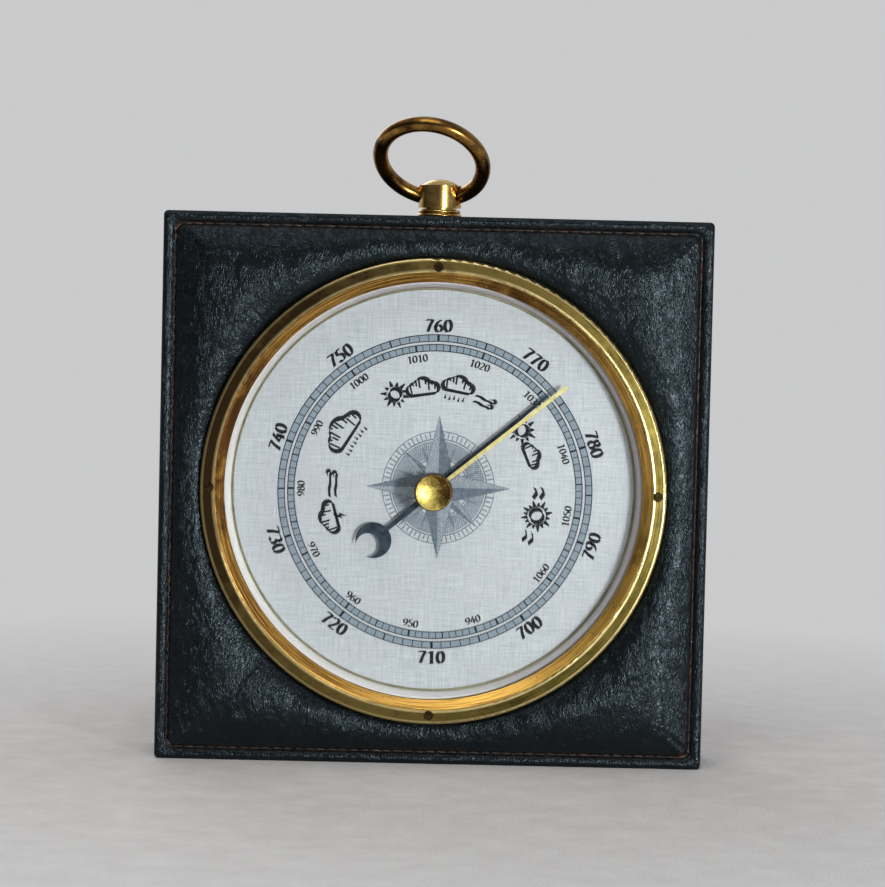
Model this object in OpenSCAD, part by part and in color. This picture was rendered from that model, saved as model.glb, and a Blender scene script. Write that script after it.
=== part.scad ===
// Square leather-covered aneroid barometer with a brass hanging ring.
// Millimetres. X to the right seen from the front, Z up, the dial looks along -Y.
// The origin is the middle of the bottom face that the case stands on.
// Depths are written as distances forward of the case's middle plane, so forward f is Y = -f.

/* [Case] */
// Width of the case beyond the bezel, at the middle of a side
case_margin = 12.9; // [10:0.1:20]
// Depth of the case from the front rim to the back
case_depth = 34; // [33:0.5:44]
// Radius of the case's four outer corners
corner_r = 1.5; // [1:0.5:5]
// Thickness of the leather
leather_t = 1.2; // [0.8:0.1:1.6]
// Distance of the sewn seam from the outer edge
seam_inset = 3.9; // [3.2:0.1:5]
// Width of the seam's flat-bottomed groove
seam_w = 0.7; // [0.5:0.1:1]
// Depth of the seam's groove below the rim
seam_depth = 0.9; // [0.5:0.1:1]
// Width of the sewing thread
thread_w = 0.5; // [0.3:0.05:0.55]
// Thickness of the sewing thread
thread_t = 0.45; // [0.2:0.05:0.8]
// Height of the padded panel above the rim
pad_rise = 2.1; // [1:0.1:3]
// Extra height of the padding in the four corners
corner_puff = 0.8; // [0:0.1:2]
// Thickness of the back cover
cover_t = 2.5; // [1.5:0.1:4]
// Distance of the cover screws from the case's outer edge
cover_screw_inset = 11; // [8:0.5:16]
// Shank radius of the cover screws
cover_screw_r = 1.4; // [1:0.1:1.8]
// Length of the cover screws
cover_screw_l = 12; // [8:0.5:16]
// Radius of the hole in the back cover for the adjusting tool
access_r = 4; // [3:0.1:5]

/* [Bezel and glass] */
// Radius of the glass
glass_r = 66; // [60:0.1:73]
// Width of the glass's edge that the bezel covers
glass_lap = 1.3; // [1:0.1:2]
// Width of the bezel from its opening to its outer edge
bezel_w = 7.4; // [7.4:0.1:9]
// Width of the bezel's inner slope
slope_w = 2.8; // [2.6:0.1:3.1]
// Fall of the bezel's inner slope
slope_drop = 2.2; // [1:0.1:3]
// Thickness of the bezel's lip over the glass
lip_t = 0.4; // [0.3:0.1:1]
// Rounding radius of the bezel's outer edge
bezel_edge_r = 0.9; // [0.4:0.1:1.2]
// Fall of the bezel's face from its crest to its rounded edge
face_fall = 0.3; // [0.1:0.05:0.5]
// Rounding radius of the crest between the bezel's face and its slope
crest_round_r = 1.2; // [0.4:0.1:1.2]
// Wall of the bezel's skirt that reaches back to the board
skirt_t = 1.3; // [1:0.1:1.6]
// Height of the leather and padding pinched under the bezel
pinch_h = 2.2; // [1.8:0.1:2.6]
// Distance of the bezel's screws from its outer edge
bezel_screw_inset = 2.8; // [2.7:0.1:3.3]
// Number of bezel screws
bezel_screw_count = 4; // [3:1:8]
// Head radius of the bezel screws
bezel_screw_head_r = 1.5; // [1.2:0.1:1.7]
// Shank radius of the bezel screws
bezel_screw_r = 0.9; // [0.7:0.1:1]
// Length of the bezel screws
bezel_screw_l = 14; // [10:0.5:20]
// Thickness of the glass
glass_t = 2; // [1.5:0.1:2.5]
// Thickness of the gasket behind the glass
gasket_t = 0.5; // [0.3:0.1:0.8]
// Depth from the front of the housing flange down to the dial
dial_sink = 5.2; // [4.8:0.1:6]
// Thickness of the reflector ring's sheet
reflector_t = 0.5; // [0.3:0.1:0.7]
// Distance of the reflector ring's foot from the dial's edge
reflector_inset = 1.5; // [1.4:0.1:2.9]
// Width of the trim ring round the dial
trim_w = 0.5; // [0.5:0.05:1.5]
// Height of the trim ring round the dial
trim_h = 0.6; // [0.4:0.1:1.5]
// Distance of the dial's edge from the glass's edge
dial_inset = 1.6; // [1.5:0.1:2.8]
// Thickness of the dial
dial_t = 0.8; // [0.5:0.1:1.2]

/* [Hanging ring] */
// Radius of the hanging ring to the middle of its wire
ring_r = 16.15; // [14:0.05:20]
// Radius of the hanging ring's wire
wire_r = 2.35; // [1.8:0.05:2.35]
// Radius of the pendant's body
pendant_r = 6.65; // [6:0.05:7.5]
// Height of the pendant's body
pendant_h = 7; // [6.9:0.1:9]
// Height of the dome on the pendant
pendant_dome_h = 2; // [1:0.1:4]
// Radius of the dome on the pendant
pendant_dome_r = 5.95; // [5:0.05:6]
// Height of the neck between the pendant's body and its collar
neck_h = 0.6; // [0.5:0.05:2]
// Radius of the pendant's neck
neck_r = 5.3; // [4:0.1:5.6]
// Radius of the collar's lower bead
collar_r = 6.9; // [6:0.1:9]
// Radius of the collar's upper bead
collar_top_r = 6.55; // [5.5:0.05:7]
// Height of each of the collar's two beads
collar_bead_h = 1.2; // [0.8:0.1:2]
// Radius of the pendant's shank in the board
shank_r = 2.5; // [2:0.1:3.5]
// Length of the pendant's shank below the case's top
shank_l = 14; // [8:0.5:15]
// Forward lean of the hanging ring from upright
ring_lean = 47.5; // [0:0.5:90]
// Turn of the pendant about its upright axis, right end forward
pendant_turn = 14.5; // [0:0.5:45]

/* [Hands and knob] */
// Direction of the pointer, clockwise from the top of the dial
pointer_angle = 48.9; // [-180:0.1:180]
// Length of the pointer from its axis to its tip
pointer_l = 47; // [35:0.5:55]
// Width of the pointer's blade at the hub
pointer_w = 2.6; // [1:0.1:4]
// Thickness of the pointer's blade
pointer_t = 0.35; // [0.2:0.05:0.6]
// Distance from the axis to the middle of the crescent on the pointer's tail
crescent_at = 24.3; // [18:0.1:30]
// Outer radius of the crescent
crescent_r = 5.6; // [3:0.1:8]
// Radius of the round bite that shapes the crescent
bite_r = 3.7; // [2:0.1:5]
// Distance from the crescent's middle to the bite's middle
bite_shift = 2.3; // [1:0.1:4]
// Radius of the pointer's hub
pointer_hub_r = 2.4; // [1.6:0.1:4]
// Direction of the set hand, clockwise from the top of the dial
set_hand_angle = 50.8; // [-180:0.1:180]
// Length of the set hand from its axis to its tip
set_hand_l = 53; // [40:0.5:58]
// Width of the set hand
set_hand_w = 1.2; // [0.8:0.1:2.5]
// Thickness of the set hand
set_hand_t = 0.35; // [0.2:0.05:0.6]
// Radius of the set hand's hub
set_hub_r = 2.8; // [2:0.1:4]
// Radius of the brass knob on the glass
knob_r = 5.95; // [4:0.05:9]
// Height of the knob's straight edge
knob_edge_h = 1.6; // [1:0.1:4]
// Height of the knob
knob_h = 5; // [4:0.1:6.5]
// How much narrower the knob is at its front than at its edge
knob_taper = 0.35; // [0.1:0.05:1]
// Width of the rounded lip round the dish in the knob's front
knob_lip_w = 0.6; // [0.4:0.05:1]
// Depth of the dish in the knob's front
knob_dish_depth = 1.4; // [0.6:0.1:1.8]
// Radius of the knob's shaft
knob_shaft_r = 1.2; // [0.8:0.05:1.6]
// Wall of the bush that carries the shaft through the glass
bush_wall = 1.15; // [0.6:0.05:1.6]
// Radius of the bush's flange on the glass
bush_flange_r = 4; // [3.2:0.1:5]
// Thickness of the bush's flange
bush_flange_t = 0.5; // [0.3:0.1:1]
// Thickness of the nut behind the glass
bush_nut_t = 0.6; // [0.4:0.1:0.7]
// Radius of the nut behind the glass
bush_nut_r = 3.8; // [3:0.1:5]
// Thickness of the spring washer behind the bush
washer_t = 0.35; // [0.2:0.05:0.4]

/* [Movement] */
// Thickness of the housing's sheet
sheet_t = 0.6; // [0.4:0.1:0.7]
// Distance of the movement housing's wall from the dial's edge
housing_inset = 3.4; // [3.2:0.1:6]
// Distance of the base plate's edge from the housing's wall
base_inset = 13; // [5:0.5:14]
// Thickness of the base plate
base_t = 1.6; // [1:0.1:2]
// Distance of the movement's fixing screws from the base plate's edge
base_screw_inset = 6; // [4:0.5:7]
// Number of the movement's fixing screws
base_screw_count = 3; // [3:1:3]
// Shank radius of the movement's fixing screws
base_screw_r = 1.25; // [0.8:0.05:1.8]
// Radius of the aneroid capsule
capsule_r = 19; // [14:0.5:19.5]
// Height of the aneroid capsule
capsule_h = 5; // [3.5:0.1:5.2]
// Number of waves pressed into each face of the capsule
capsule_rings = 4; // [2:1:5]
// Height of the waves in the capsule's faces
wave_h = 0.8; // [0.3:0.1:1]
// Thickness of the capsule's diaphragms
diaphragm_t = 0.3; // [0.15:0.05:0.4]
// Width of the capsule's soldered rim
rim_w = 1.5; // [0.8:0.1:2]
// Thickness of the rim of one diaphragm
rim_t = 0.5; // [0.3:0.05:0.8]
// Height of the post under the capsule
post_h = 2.2; // [2:0.1:2.6]
// Radius of the post under the capsule
post_r = 3.5; // [2:0.1:5]
// Radius of the stud on top of the capsule
stud_r = 1.5; // [1:0.1:1.7]
// Radius of the cross pin in the stud
cross_pin_r = 0.5; // [0.3:0.05:0.55]
// Width of the mainspring's strip
spring_w = 12; // [8:0.5:16]
// Thickness of the mainspring's strip
spring_t = 0.8; // [0.5:0.05:0.9]
// Distance from the dial's axis to the middle of the mainspring's bend
spring_bend_at = 30; // [27:0.5:33]
// Height from the lower leaf's middle to the upper leaf's middle
spring_rise = 8.8; // [8.6:0.1:9.2]
// Thickness of the block under the mainspring
block_t = 1.2; // [0.8:0.1:1.4]
// Radius of the adjusting screw
adjuster_r = 2; // [1.5:0.1:2.5]
// Thickness of the lever
lever_t = 0.8; // [0.5:0.1:1]
// Width of the lever at its wide end
lever_w = 7; // [5:0.5:10]
// Width of the lever at the link
lever_tip_w = 3.6; // [2.5:0.1:5]
// Distance from the dial's axis to the rocking shaft
rocker_at = 27; // [24:0.5:32]
// Height of the rocking shaft above the base plate
rocker_h = 5.2; // [4:0.1:5.6]
// Radius of the rocking shaft
rocker_r = 0.6; // [0.5:0.05:0.7]
// Radius of the pivots at the rocking shaft's ends
rocker_pivot_r = 0.4; // [0.3:0.05:0.45]
// Distance between the rocking shaft's two bearings
rocker_span = 20.6; // [16:0.2:26]
// Length of the crank on the rocking shaft
crank_l = 1.8; // [1.7:0.05:2.4]
// Turn of the rocking shaft from the middle of its travel
rocker_turn = 11; // [-20:0.1:20]
// Radius of the chain pulley on the pointer's arbor
pulley_r = 1.06; // [1.02:0.01:1.6]
// Radius of the pulley's two flanges
pulley_flange_r = 2; // [1.8:0.1:3]
// Radius of the pull chain
chain_r = 0.2; // [0.15:0.05:0.3]
// Radius of the pointer's arbor
arbor_r = 0.8; // [0.7:0.05:0.85]
// Radius of the arbor's lower pivot
arbor_pivot_r = 0.5; // [0.3:0.05:0.6]
// Thickness of the two bridges
bridge_t = 0.9; // [0.6:0.1:1]
// Width of the two bridges
bridge_w = 12; // [8:0.5:16]
// Distance of the pillars from the dial's axis
pillar_at = 27; // [24:0.5:34]
// Radius of the pillars
pillar_r = 2.5; // [2:0.1:3.5]
// Radius of the pillars' upper ends
pillar_top_r = 1.8; // [1.2:0.1:1.9]
// Outer radius of the spiral hairspring
hairspring_r = 5.4; // [4.5:0.1:5.6]
// Number of turns of the hairspring
hairspring_turns = 4; // [2:1:5]

/* [Hidden] */
$fn = 96;

// Clearances
fit = 0.05;        // between a screw, pivot or pushed-on piece and its hole
loose = 0.3;       // between pieces that only lie beside each other
slip = 0.2;        // between flat pieces that slip past each other
past = 1;          // how far a cutter runs past the face that it opens

// The round pieces and the case's side follow the glass
opening_r = glass_r - glass_lap;
bezel_r = opening_r + bezel_w;
bezel_flat_r = opening_r + slope_w;
slope_turn = atan(slope_drop / slope_w);
crest_mid_r = bezel_flat_r + crest_round_r * tan(slope_turn / 2);
bezel_screw_circle = bezel_r - bezel_screw_inset;
dial_r = glass_r - dial_inset;
reflector_foot_r = dial_r - reflector_inset;
housing_r = dial_r - housing_inset;
base_r = housing_r - base_inset;
base_screw_circle = base_r - base_screw_inset;
case_side = 2 * (bezel_r + case_margin);

// Places along the case's height
mid_z = case_side / 2;
top_z = case_side;

// Forward places of the case and the glass, from the rim backwards and forwards
rim_f = case_depth / 2;
back_f = -case_depth / 2;
board_f = rim_f - leather_t;
board_back_f = back_f + cover_t;
flange_sink = 2 * sheet_t;
flange_f = board_f - flange_sink + sheet_t;
reflector_f = flange_f + reflector_t;
glass_back_f = reflector_f + gasket_t;
glass_f = glass_back_f + glass_t;
slope_foot_f = glass_f + lip_t;
bezel_f = slope_foot_f + slope_drop;
screw_seat_f = bezel_f - face_fall / 2;
bezel_back_f = board_f + pinch_h;
dial_f = flange_f - dial_sink;
dial_back_f = dial_f - dial_t;

// Radii round the dial
skirt_in_r = glass_r + loose;
skirt_r = skirt_in_r + skirt_t;
hole_r = skirt_r + loose;
flange_r = glass_r;
dial_gap = 0.4;
collar_in_r = dial_r + dial_gap;
collar_out_r = collar_in_r + sheet_t;
board_front_r = collar_out_r + loose;
board_back_r = housing_r + 2 * loose;
ledge_w = 2.5;
ledge_in_r = housing_r - ledge_w;
head_depth = bezel_screw_head_r - bezel_screw_r;

// Pendant and ring
collar_top_z = top_z + 2 * collar_bead_h;
body_z = collar_top_z + neck_h;
body_top_z = body_z + pendant_h;
// The wire is curved and the bore straight, so the bore is wider by half the wire's bend inside it
// and flares at its mouths
mouth_x = 6.2;
flare_l = 1.2;
flare_h = 0.6;
wire_sag = (ring_r - sqrt(ring_r * ring_r - mouth_x * mouth_x)) / 2;
ring_play = 0.09;
ring_hole_r = wire_r + wire_sag + ring_play;
bore_web = 0.3;
bore_z = body_z + ring_hole_r + bore_web;

// Hands and knob, from the glass outwards and inwards
bush_r = knob_shaft_r + fit + bush_wall;
bush_back_f = glass_back_f - bush_nut_t - slip;
knob_back_f = glass_f + bush_flange_t + slip;
knob_socket_f = knob_back_f + (knob_h - knob_dish_depth) * 3 / 4;
hand_hub_h = 0.9;
washer_back_f = bush_back_f - fit - washer_t;
set_hub_f = washer_back_f - hand_hub_h;
shaft_end_f = set_hub_f - slip;
pointer_hub_h = 1.4;
pointer_gap = 1.2;
pointer_hub_f = dial_f + pointer_gap;
arbor_top_f = pointer_hub_f + pointer_hub_h + slip;

// Movement, from the back of the housing forwards
screw_head_t = 0.7;
housing_back_f = board_back_f + screw_head_t + slip;
base_back_f = housing_back_f + sheet_t;
base_f = base_back_f + base_t;
capsule_f = base_f + post_h;
capsule_top_f = capsule_f + capsule_h;
leaf_low_f = base_f + block_t + spring_t / 2;
leaf_top_f = leaf_low_f + spring_rise;
lever_f = leaf_top_f + spring_t / 2;
lever_top_f = lever_f + lever_t;
stud_top_f = lever_f + 2 * cross_pin_r + slip;
rocker_f = base_f + rocker_h;
link_at = rocker_at + crank_l * cos(rocker_turn);
pin_f = rocker_f - crank_l * sin(rocker_turn);
crank_pin_r = 0.3;
link_gap = 0.2;
link_wall = 0.3;
link_t = 0.5;
link_head_h = 0.3;
crank_gap = 0.4;
crank_t = 0.8;
link_w = 2 * (crank_pin_r + link_gap + link_wall);
arm_out = 4;
arm_t = 0.8;
bearing_t = 1.6;
bearing_w = 3;

// Movement, from the dial backwards
bridge_head_t = 0.6;
bridge_gap = 4.5;
upper_bridge_f = dial_back_f - 2 * bridge_head_t;
upper_bridge_back_f = upper_bridge_f - bridge_t;
lower_bridge_f = upper_bridge_back_f - bridge_gap;
lower_bridge_back_f = lower_bridge_f - bridge_t;
pulley_flange_t = 0.3;
pulley_gap = 1;
pulley_back_f = lower_bridge_f + pulley_gap;
pulley_w = 1.4;
chain_f = pulley_back_f + pulley_flange_t + pulley_w / 2;
collet_back_f = pulley_back_f + 2 * pulley_flange_t + pulley_w + slip;
collet_h = 0.7;
collet_r = 1.6;
hairspring_h = 0.4;
hairspring_w = 0.14;
arm_reach = (chain_f - rocker_f) / cos(rocker_turn);

// Puts a flat outline (x, z) between two forward places
module slab(from_f, to_f) {
    rotate([90, 0, 0]) translate([0, 0, from_f]) linear_extrude(to_f - from_f) children();
}

// Turns an outline (radius, forward) about the dial's axis
module turned() {
    translate([0, 0, mid_z]) rotate([90, 0, 0]) rotate_extrude() children();
}

// A rod along the dial's axis direction at (x, z above the dial's axis)
module rod(x, z, r, from_f, to_f) {
    translate([x, 0, mid_z + z]) rotate([90, 0, 0]) translate([0, 0, from_f])
        cylinder(r = r, h = to_f - from_f);
}

// A cone along the dial's axis direction
module cone_rod(x, z, r_from, r_to, from_f, to_f) {
    translate([x, 0, mid_z + z]) rotate([90, 0, 0]) translate([0, 0, from_f])
        cylinder(r1 = r_from, r2 = r_to, h = to_f - from_f);
}

// Square outline with round corners, about the middle of the case
module round_square(side, r) {
    translate([0, mid_z]) {
        square([side, side - 2 * r], center = true);
        square([side - 2 * r, side], center = true);
        for (x = [-1, 1], z = [-1, 1]) translate([x * (side / 2 - r), z * (side / 2 - r)]) circle(r = r);
    }
}

// Repeats its children at equal angles round the dial's axis
module around_dial(count) {
    for (i = [0:count - 1])
        translate([0, 0, mid_z]) rotate([0, 360 * i / count, 0]) translate([0, 0, -mid_z]) children();
}

// The padded panel is a stack of closed rows of points, each at one inset from the edge or at one radius
panel_h = case_side / 2;
corner_span = 45 - atan((panel_h - corner_r) / panel_h);
side_steps = 12;
row_angles = [
    for (quarter = [0:3]) each concat(
        [for (k = [-2:2]) 45 + 90 * quarter + k * corner_span / 2],
        [for (k = [1:side_steps]) 45 + 90 * quarter + 90 * k / (side_steps + 1)]
    )
];
tuck_gap = 0.35;
tuck_r = bezel_r + tuck_gap;
shoulder_w = 2.6;
shoulder_inset = seam_inset + shoulder_w;
rim_round = 0.7;
seam_bank = 0.6;
corner_growth = 0.3;

// Angle from the nearest side's middle, from 0 to 45
function folded(a) = let (m = ((a % 90) + 90) % 90) m > 45 ? 90 - m : m;
// Distance from the middle to a square with round corners, along the direction a
function edge_at(a, half, r) = let (
        t = folded(a),
        p = half - r,
        b = p * (cos(t) + sin(t))
    ) half * tan(t) <= p ? half / cos(t) : b + sqrt(r * r - 2 * p * p + b * b);
// Distance at an inset from the outer edge; the corner grows softer inwards
function inset_at(a, inset) = edge_at(a, panel_h - inset, corner_r + corner_growth * inset);
// Distance part way from the bezel to the padding's shoulder
function between_at(a, share) = tuck_r + share * (inset_at(a, shoulder_inset) - tuck_r);
// How much of a corner lies in this direction, from 0 at a side's middle to 1
function cornering(a) = pow(sin(2 * folded(a)), 2);

function point_at(a, distance, f) = [distance * cos(a), -f, mid_z + distance * sin(a)];
function inset_row(inset, f) = [for (a = row_angles) point_at(a, inset_at(a, inset), f)];
function circle_row(r, f) = [for (a = row_angles) point_at(a, r, f)];
function crown_row(share, f) = [
    for (a = row_angles) point_at(a, between_at(a, share), f + corner_puff * cornering(a) * sin(180 * share))
];

// Closed skin through rows of points; the last row joins the first
module ring_of_rows(rows) {
    n = len(rows[0]);
    m = len(rows);
    polyhedron(
        points = [for (row = rows) each row],
        faces = [
            for (j = [0:m - 1], i = [0:n - 1]) each let (
                a = j * n + i,
                b = j * n + (i + 1) % n,
                c = ((j + 1) % m) * n + (i + 1) % n,
                d = ((j + 1) % m) * n + i
            ) [[a, c, b], [a, d, c]]
        ]
    );
}

pad_f = rim_f + pad_rise;
pad_edge = 1;
crown_fall = 0.15;
groove_f = rim_f - seam_depth;
under_rows = [
    inset_row(seam_inset + pad_edge, board_f),
    crown_row(0.5, pad_f - leather_t - slip),
    circle_row(tuck_r, bezel_back_f - leather_t + loose),
    circle_row(hole_r, bezel_back_f - leather_t)
];

// Holes through the padding for the bezel's screws
module bezel_screw_holes(r) {
    around_dial(bezel_screw_count) rod(0, bezel_screw_circle, r, board_f - past, bezel_back_f + past);
}

module front_leather() {
    color([0.08, 0.09, 0.10]) difference() {
        ring_of_rows(concat([
            circle_row(hole_r, bezel_back_f),
            circle_row(bezel_r + tuck_gap / 2, bezel_back_f),
            circle_row(tuck_r, bezel_back_f + tuck_gap),
            crown_row(0.3, pad_f - crown_fall),
            crown_row(0.7, pad_f),
            inset_row(shoulder_inset, rim_f + pad_rise / 2),
            inset_row(seam_inset + seam_w, rim_f - seam_depth / 4),
            inset_row(seam_inset + seam_w / 2, groove_f),
            inset_row(seam_inset - seam_w / 2, groove_f),
            inset_row(seam_inset - seam_w - seam_bank, rim_f),
            inset_row(rim_round, rim_f),
            inset_row(0, rim_f - rim_round),
            inset_row(0, board_f)
        ], under_rows));
        bezel_screw_holes(bezel_screw_r + fit);
    }
}

module foam_pad() {
    color([0.75, 0.70, 0.55]) difference() {
        ring_of_rows(concat(under_rows, [circle_row(hole_r, board_f)]));
        bezel_screw_holes(bezel_screw_r + fit);
    }
}

module seam_thread() {
    color([0.42, 0.22, 0.16]) slab(groove_f, groove_f + thread_t) difference() {
        thread_out = seam_inset - thread_w / 2;
        thread_in = seam_inset + thread_w / 2;
        round_square(case_side - 2 * thread_out, corner_r + corner_growth * seam_inset + thread_w / 2);
        round_square(case_side - 2 * thread_in, corner_r + corner_growth * seam_inset - thread_w / 2);
    }
}

module side_leather() {
    color([0.08, 0.09, 0.10]) difference() {
        slab(back_f, board_f) difference() {
            round_square(case_side, corner_r);
            round_square(case_side - 2 * leather_t, corner_r / 2);
        }
        translate([0, 0, top_z - 2 * leather_t]) cylinder(r = shank_r + fit, h = 4 * leather_t);
    }
}

module case_board() {
    board_side = case_side - 2 * leather_t;
    color([0.72, 0.56, 0.36]) difference() {
        slab(board_back_f, board_f) round_square(board_side, corner_r / 2);
        rod(0, 0, skirt_in_r, board_f - flange_sink, board_f + past);
        rod(0, 0, board_front_r, dial_back_f - sheet_t - slip, board_f + past);
        rod(0, 0, board_back_r, board_back_f - past, board_f + past);
        around_dial(bezel_screw_count)
            rod(0, bezel_screw_circle, bezel_screw_r + fit, bezel_f - bezel_screw_l - past, board_f + past);
        cover_screw_places()
            rod(0, 0, cover_screw_r + fit, board_back_f - past, back_f + cover_screw_l + past);
        translate([0, 0, top_z - shank_l - 1]) cylinder(r = shank_r + fit, h = shank_l + 2);
    }
}

module cover_screw_places() {
    reach = case_side / 2 - cover_screw_inset;
    for (x = [-1, 1], z = [-1, 1]) translate([x * reach, 0, z * reach]) children();
}

module cover_screw_head(r_add) {
    head_r = 2 * cover_screw_r;
    cone_rod(0, 0, head_r + r_add, cover_screw_r + r_add, back_f, back_f + cover_screw_r);
}

module back_cover() {
    color([0.16, 0.12, 0.09]) difference() {
        slab(back_f, board_back_f) round_square(case_side - 2 * leather_t - 2 * fit, corner_r / 2);
        rod(-spring_bend_at, 0, access_r, back_f - past, board_back_f + past);
        cover_screw_places() {
            rod(0, 0, cover_screw_r + fit, back_f - past, board_back_f + past);
            cover_screw_head(fit);
        }
    }
}

// A straight screwdriver slot across a screw's head
module slot(r, width, from_f, to_f) {
    translate([0, 0, mid_z]) rotate([0, 35, 0]) translate([-r - past, -to_f, -width / 2])
        cube([2 * (r + past), to_f - from_f, width]);
}

module cover_screws() {
    color([0.45, 0.42, 0.36]) cover_screw_places() difference() {
        union() {
            cover_screw_head(0);
            rod(0, 0, cover_screw_r, back_f + cover_screw_r, back_f + cover_screw_l);
        }
        slot(2 * cover_screw_r, cover_screw_r / 2, back_f - past, back_f + cover_screw_r / 2);
    }
}

module bezel() {
    color([0.68, 0.55, 0.26]) difference() {
        turned() {
            polygon([
                [skirt_in_r, board_f],
                [skirt_r, board_f],
                [skirt_r, bezel_back_f],
                [bezel_r, bezel_back_f],
                [bezel_r, bezel_f - face_fall - bezel_edge_r],
                [bezel_r - bezel_edge_r, bezel_f - face_fall],
                [crest_mid_r, bezel_f],
                [
                    crest_mid_r - crest_round_r * sin(slope_turn),
                    bezel_f - crest_round_r * (1 - cos(slope_turn))
                ],
                [opening_r, slope_foot_f],
                [opening_r, glass_f],
                [skirt_in_r, glass_f]
            ]);
            translate([bezel_r - bezel_edge_r, bezel_f - face_fall - bezel_edge_r]) intersection() {
                circle(r = bezel_edge_r, $fn = 24);
                square(bezel_edge_r);
            }
            translate([crest_mid_r, bezel_f - crest_round_r]) intersection() {
                circle(r = crest_round_r, $fn = 24);
                translate([-crest_round_r, 0]) square([2 * crest_round_r, crest_round_r]);
            }
        }
        around_dial(bezel_screw_count) {
            rod(0, bezel_screw_circle, bezel_screw_r + fit, bezel_back_f - past, bezel_f + past);
            cone_rod(0, bezel_screw_circle, bezel_screw_r + fit, bezel_screw_head_r + 2 * fit,
                screw_seat_f - head_depth, screw_seat_f + fit);
            rod(0, bezel_screw_circle, bezel_screw_head_r + 2 * fit, screw_seat_f, bezel_f + past);
        }
    }
}

module bezel_screws() {
    head_f = screw_seat_f - fit;
    color([0.62, 0.50, 0.25]) around_dial(bezel_screw_count) translate([0, 0, bezel_screw_circle])
    difference() {
        union() {
            cone_rod(0, 0, bezel_screw_r, bezel_screw_head_r, head_f - head_depth, head_f);
            rod(0, 0, bezel_screw_r, bezel_f - bezel_screw_l, head_f - head_depth);
        }
        slot(bezel_screw_head_r, bezel_screw_head_r / 3, head_f - head_depth / 2, head_f + past);
    }
}

module glass() {
    color([0.80, 0.90, 0.92, 0.25]) difference() {
        rod(0, 0, glass_r, glass_back_f, glass_f);
        rod(0, 0, bush_r + fit, glass_back_f - past, glass_f + past);
    }
}

module glass_gasket() {
    color([0.20, 0.20, 0.20]) difference() {
        rod(0, 0, glass_r, reflector_f, glass_back_f);
        rod(0, 0, opening_r + 2 * fit, reflector_f - past, glass_back_f + past);
    }
}

module reflector_ring() {
    lip_r = collar_in_r - reflector_t - 2 * fit;
    color([0.86, 0.87, 0.86]) turned() polygon([
        [reflector_foot_r, dial_f],
        [reflector_foot_r + reflector_t, dial_f],
        [lip_r + reflector_t, flange_f],
        [flange_r, flange_f],
        [flange_r, reflector_f],
        [lip_r, reflector_f]
    ]);
}

module trim_ring() {
    out_r = reflector_foot_r - fit;
    color([0.72, 0.60, 0.30]) turned() polygon([
        [out_r - trim_w, dial_f],
        [out_r, dial_f],
        [out_r, dial_f + trim_h],
        [out_r - trim_w / 2, dial_f + trim_h],
        [out_r - trim_w, dial_f + trim_h / 2]
    ]);
}

module dial_plate() {
    color([0.76, 0.79, 0.80]) difference() {
        rod(0, 0, dial_r, dial_back_f, dial_f);
        rod(0, 0, 2.5 * arbor_r, dial_back_f - past, dial_f + past);
    }
}

module pendant() {
    color([0.76, 0.62, 0.28]) difference() {
        union() {
            translate([0, 0, body_z]) cylinder(r = pendant_r, h = pendant_h);
            translate([0, 0, top_z]) cylinder(r = shank_r, h = 2 * collar_bead_h);
            translate([0, 0, collar_top_z]) cylinder(r = neck_r, h = neck_h);
            translate([0, 0, top_z - shank_l]) cylinder(r = shank_r, h = shank_l);
            dome(pendant_dome_r, pendant_dome_h, body_top_z);
        }
        translate([0, 0, bore_z]) rotate([0, 90, -pendant_turn]) {
            cylinder(r = ring_hole_r, h = 4 * pendant_r, center = true);
            for (side = [0, 1]) mirror([0, 0, side]) translate([0, 0, pendant_r - flare_l])
                cylinder(r1 = ring_hole_r, r2 = ring_hole_r + 2 * flare_h, h = 2 * flare_l);
        }
    }
}

// Part of a ball with a round foot, standing on the height z
module dome(r, h, z) {
    ball_r = (r * r + h * h) / (2 * h);
    translate([0, 0, z]) rotate_extrude() intersection() {
        translate([0, h - ball_r]) circle(r = ball_r);
        square([r, h]);
    }
}

module pendant_collar() {
    bead = collar_bead_h / 2;
    color([0.72, 0.58, 0.26]) translate([0, 0, top_z]) rotate_extrude() {
        translate([shank_r + fit, 0]) square([collar_r - bead - shank_r - fit, 2 * bead]);
        translate([collar_r - bead, bead]) circle(r = bead, $fn = 48);
        translate([shank_r + fit, 2 * bead]) square([collar_top_r - bead - shank_r - fit, 2 * bead]);
        translate([collar_top_r - bead, 3 * bead]) circle(r = bead, $fn = 48);
    }
}

module hanging_ring() {
    color([0.50, 0.33, 0.14]) translate([0, 0, bore_z]) rotate([0, 0, -pendant_turn])
        rotate([ring_lean, 0, 0]) translate([0, 0, ring_r - wire_sag]) rotate([90, 0, 0])
        rotate_extrude() translate([ring_r, 0]) circle(r = wire_r);
}

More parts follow.
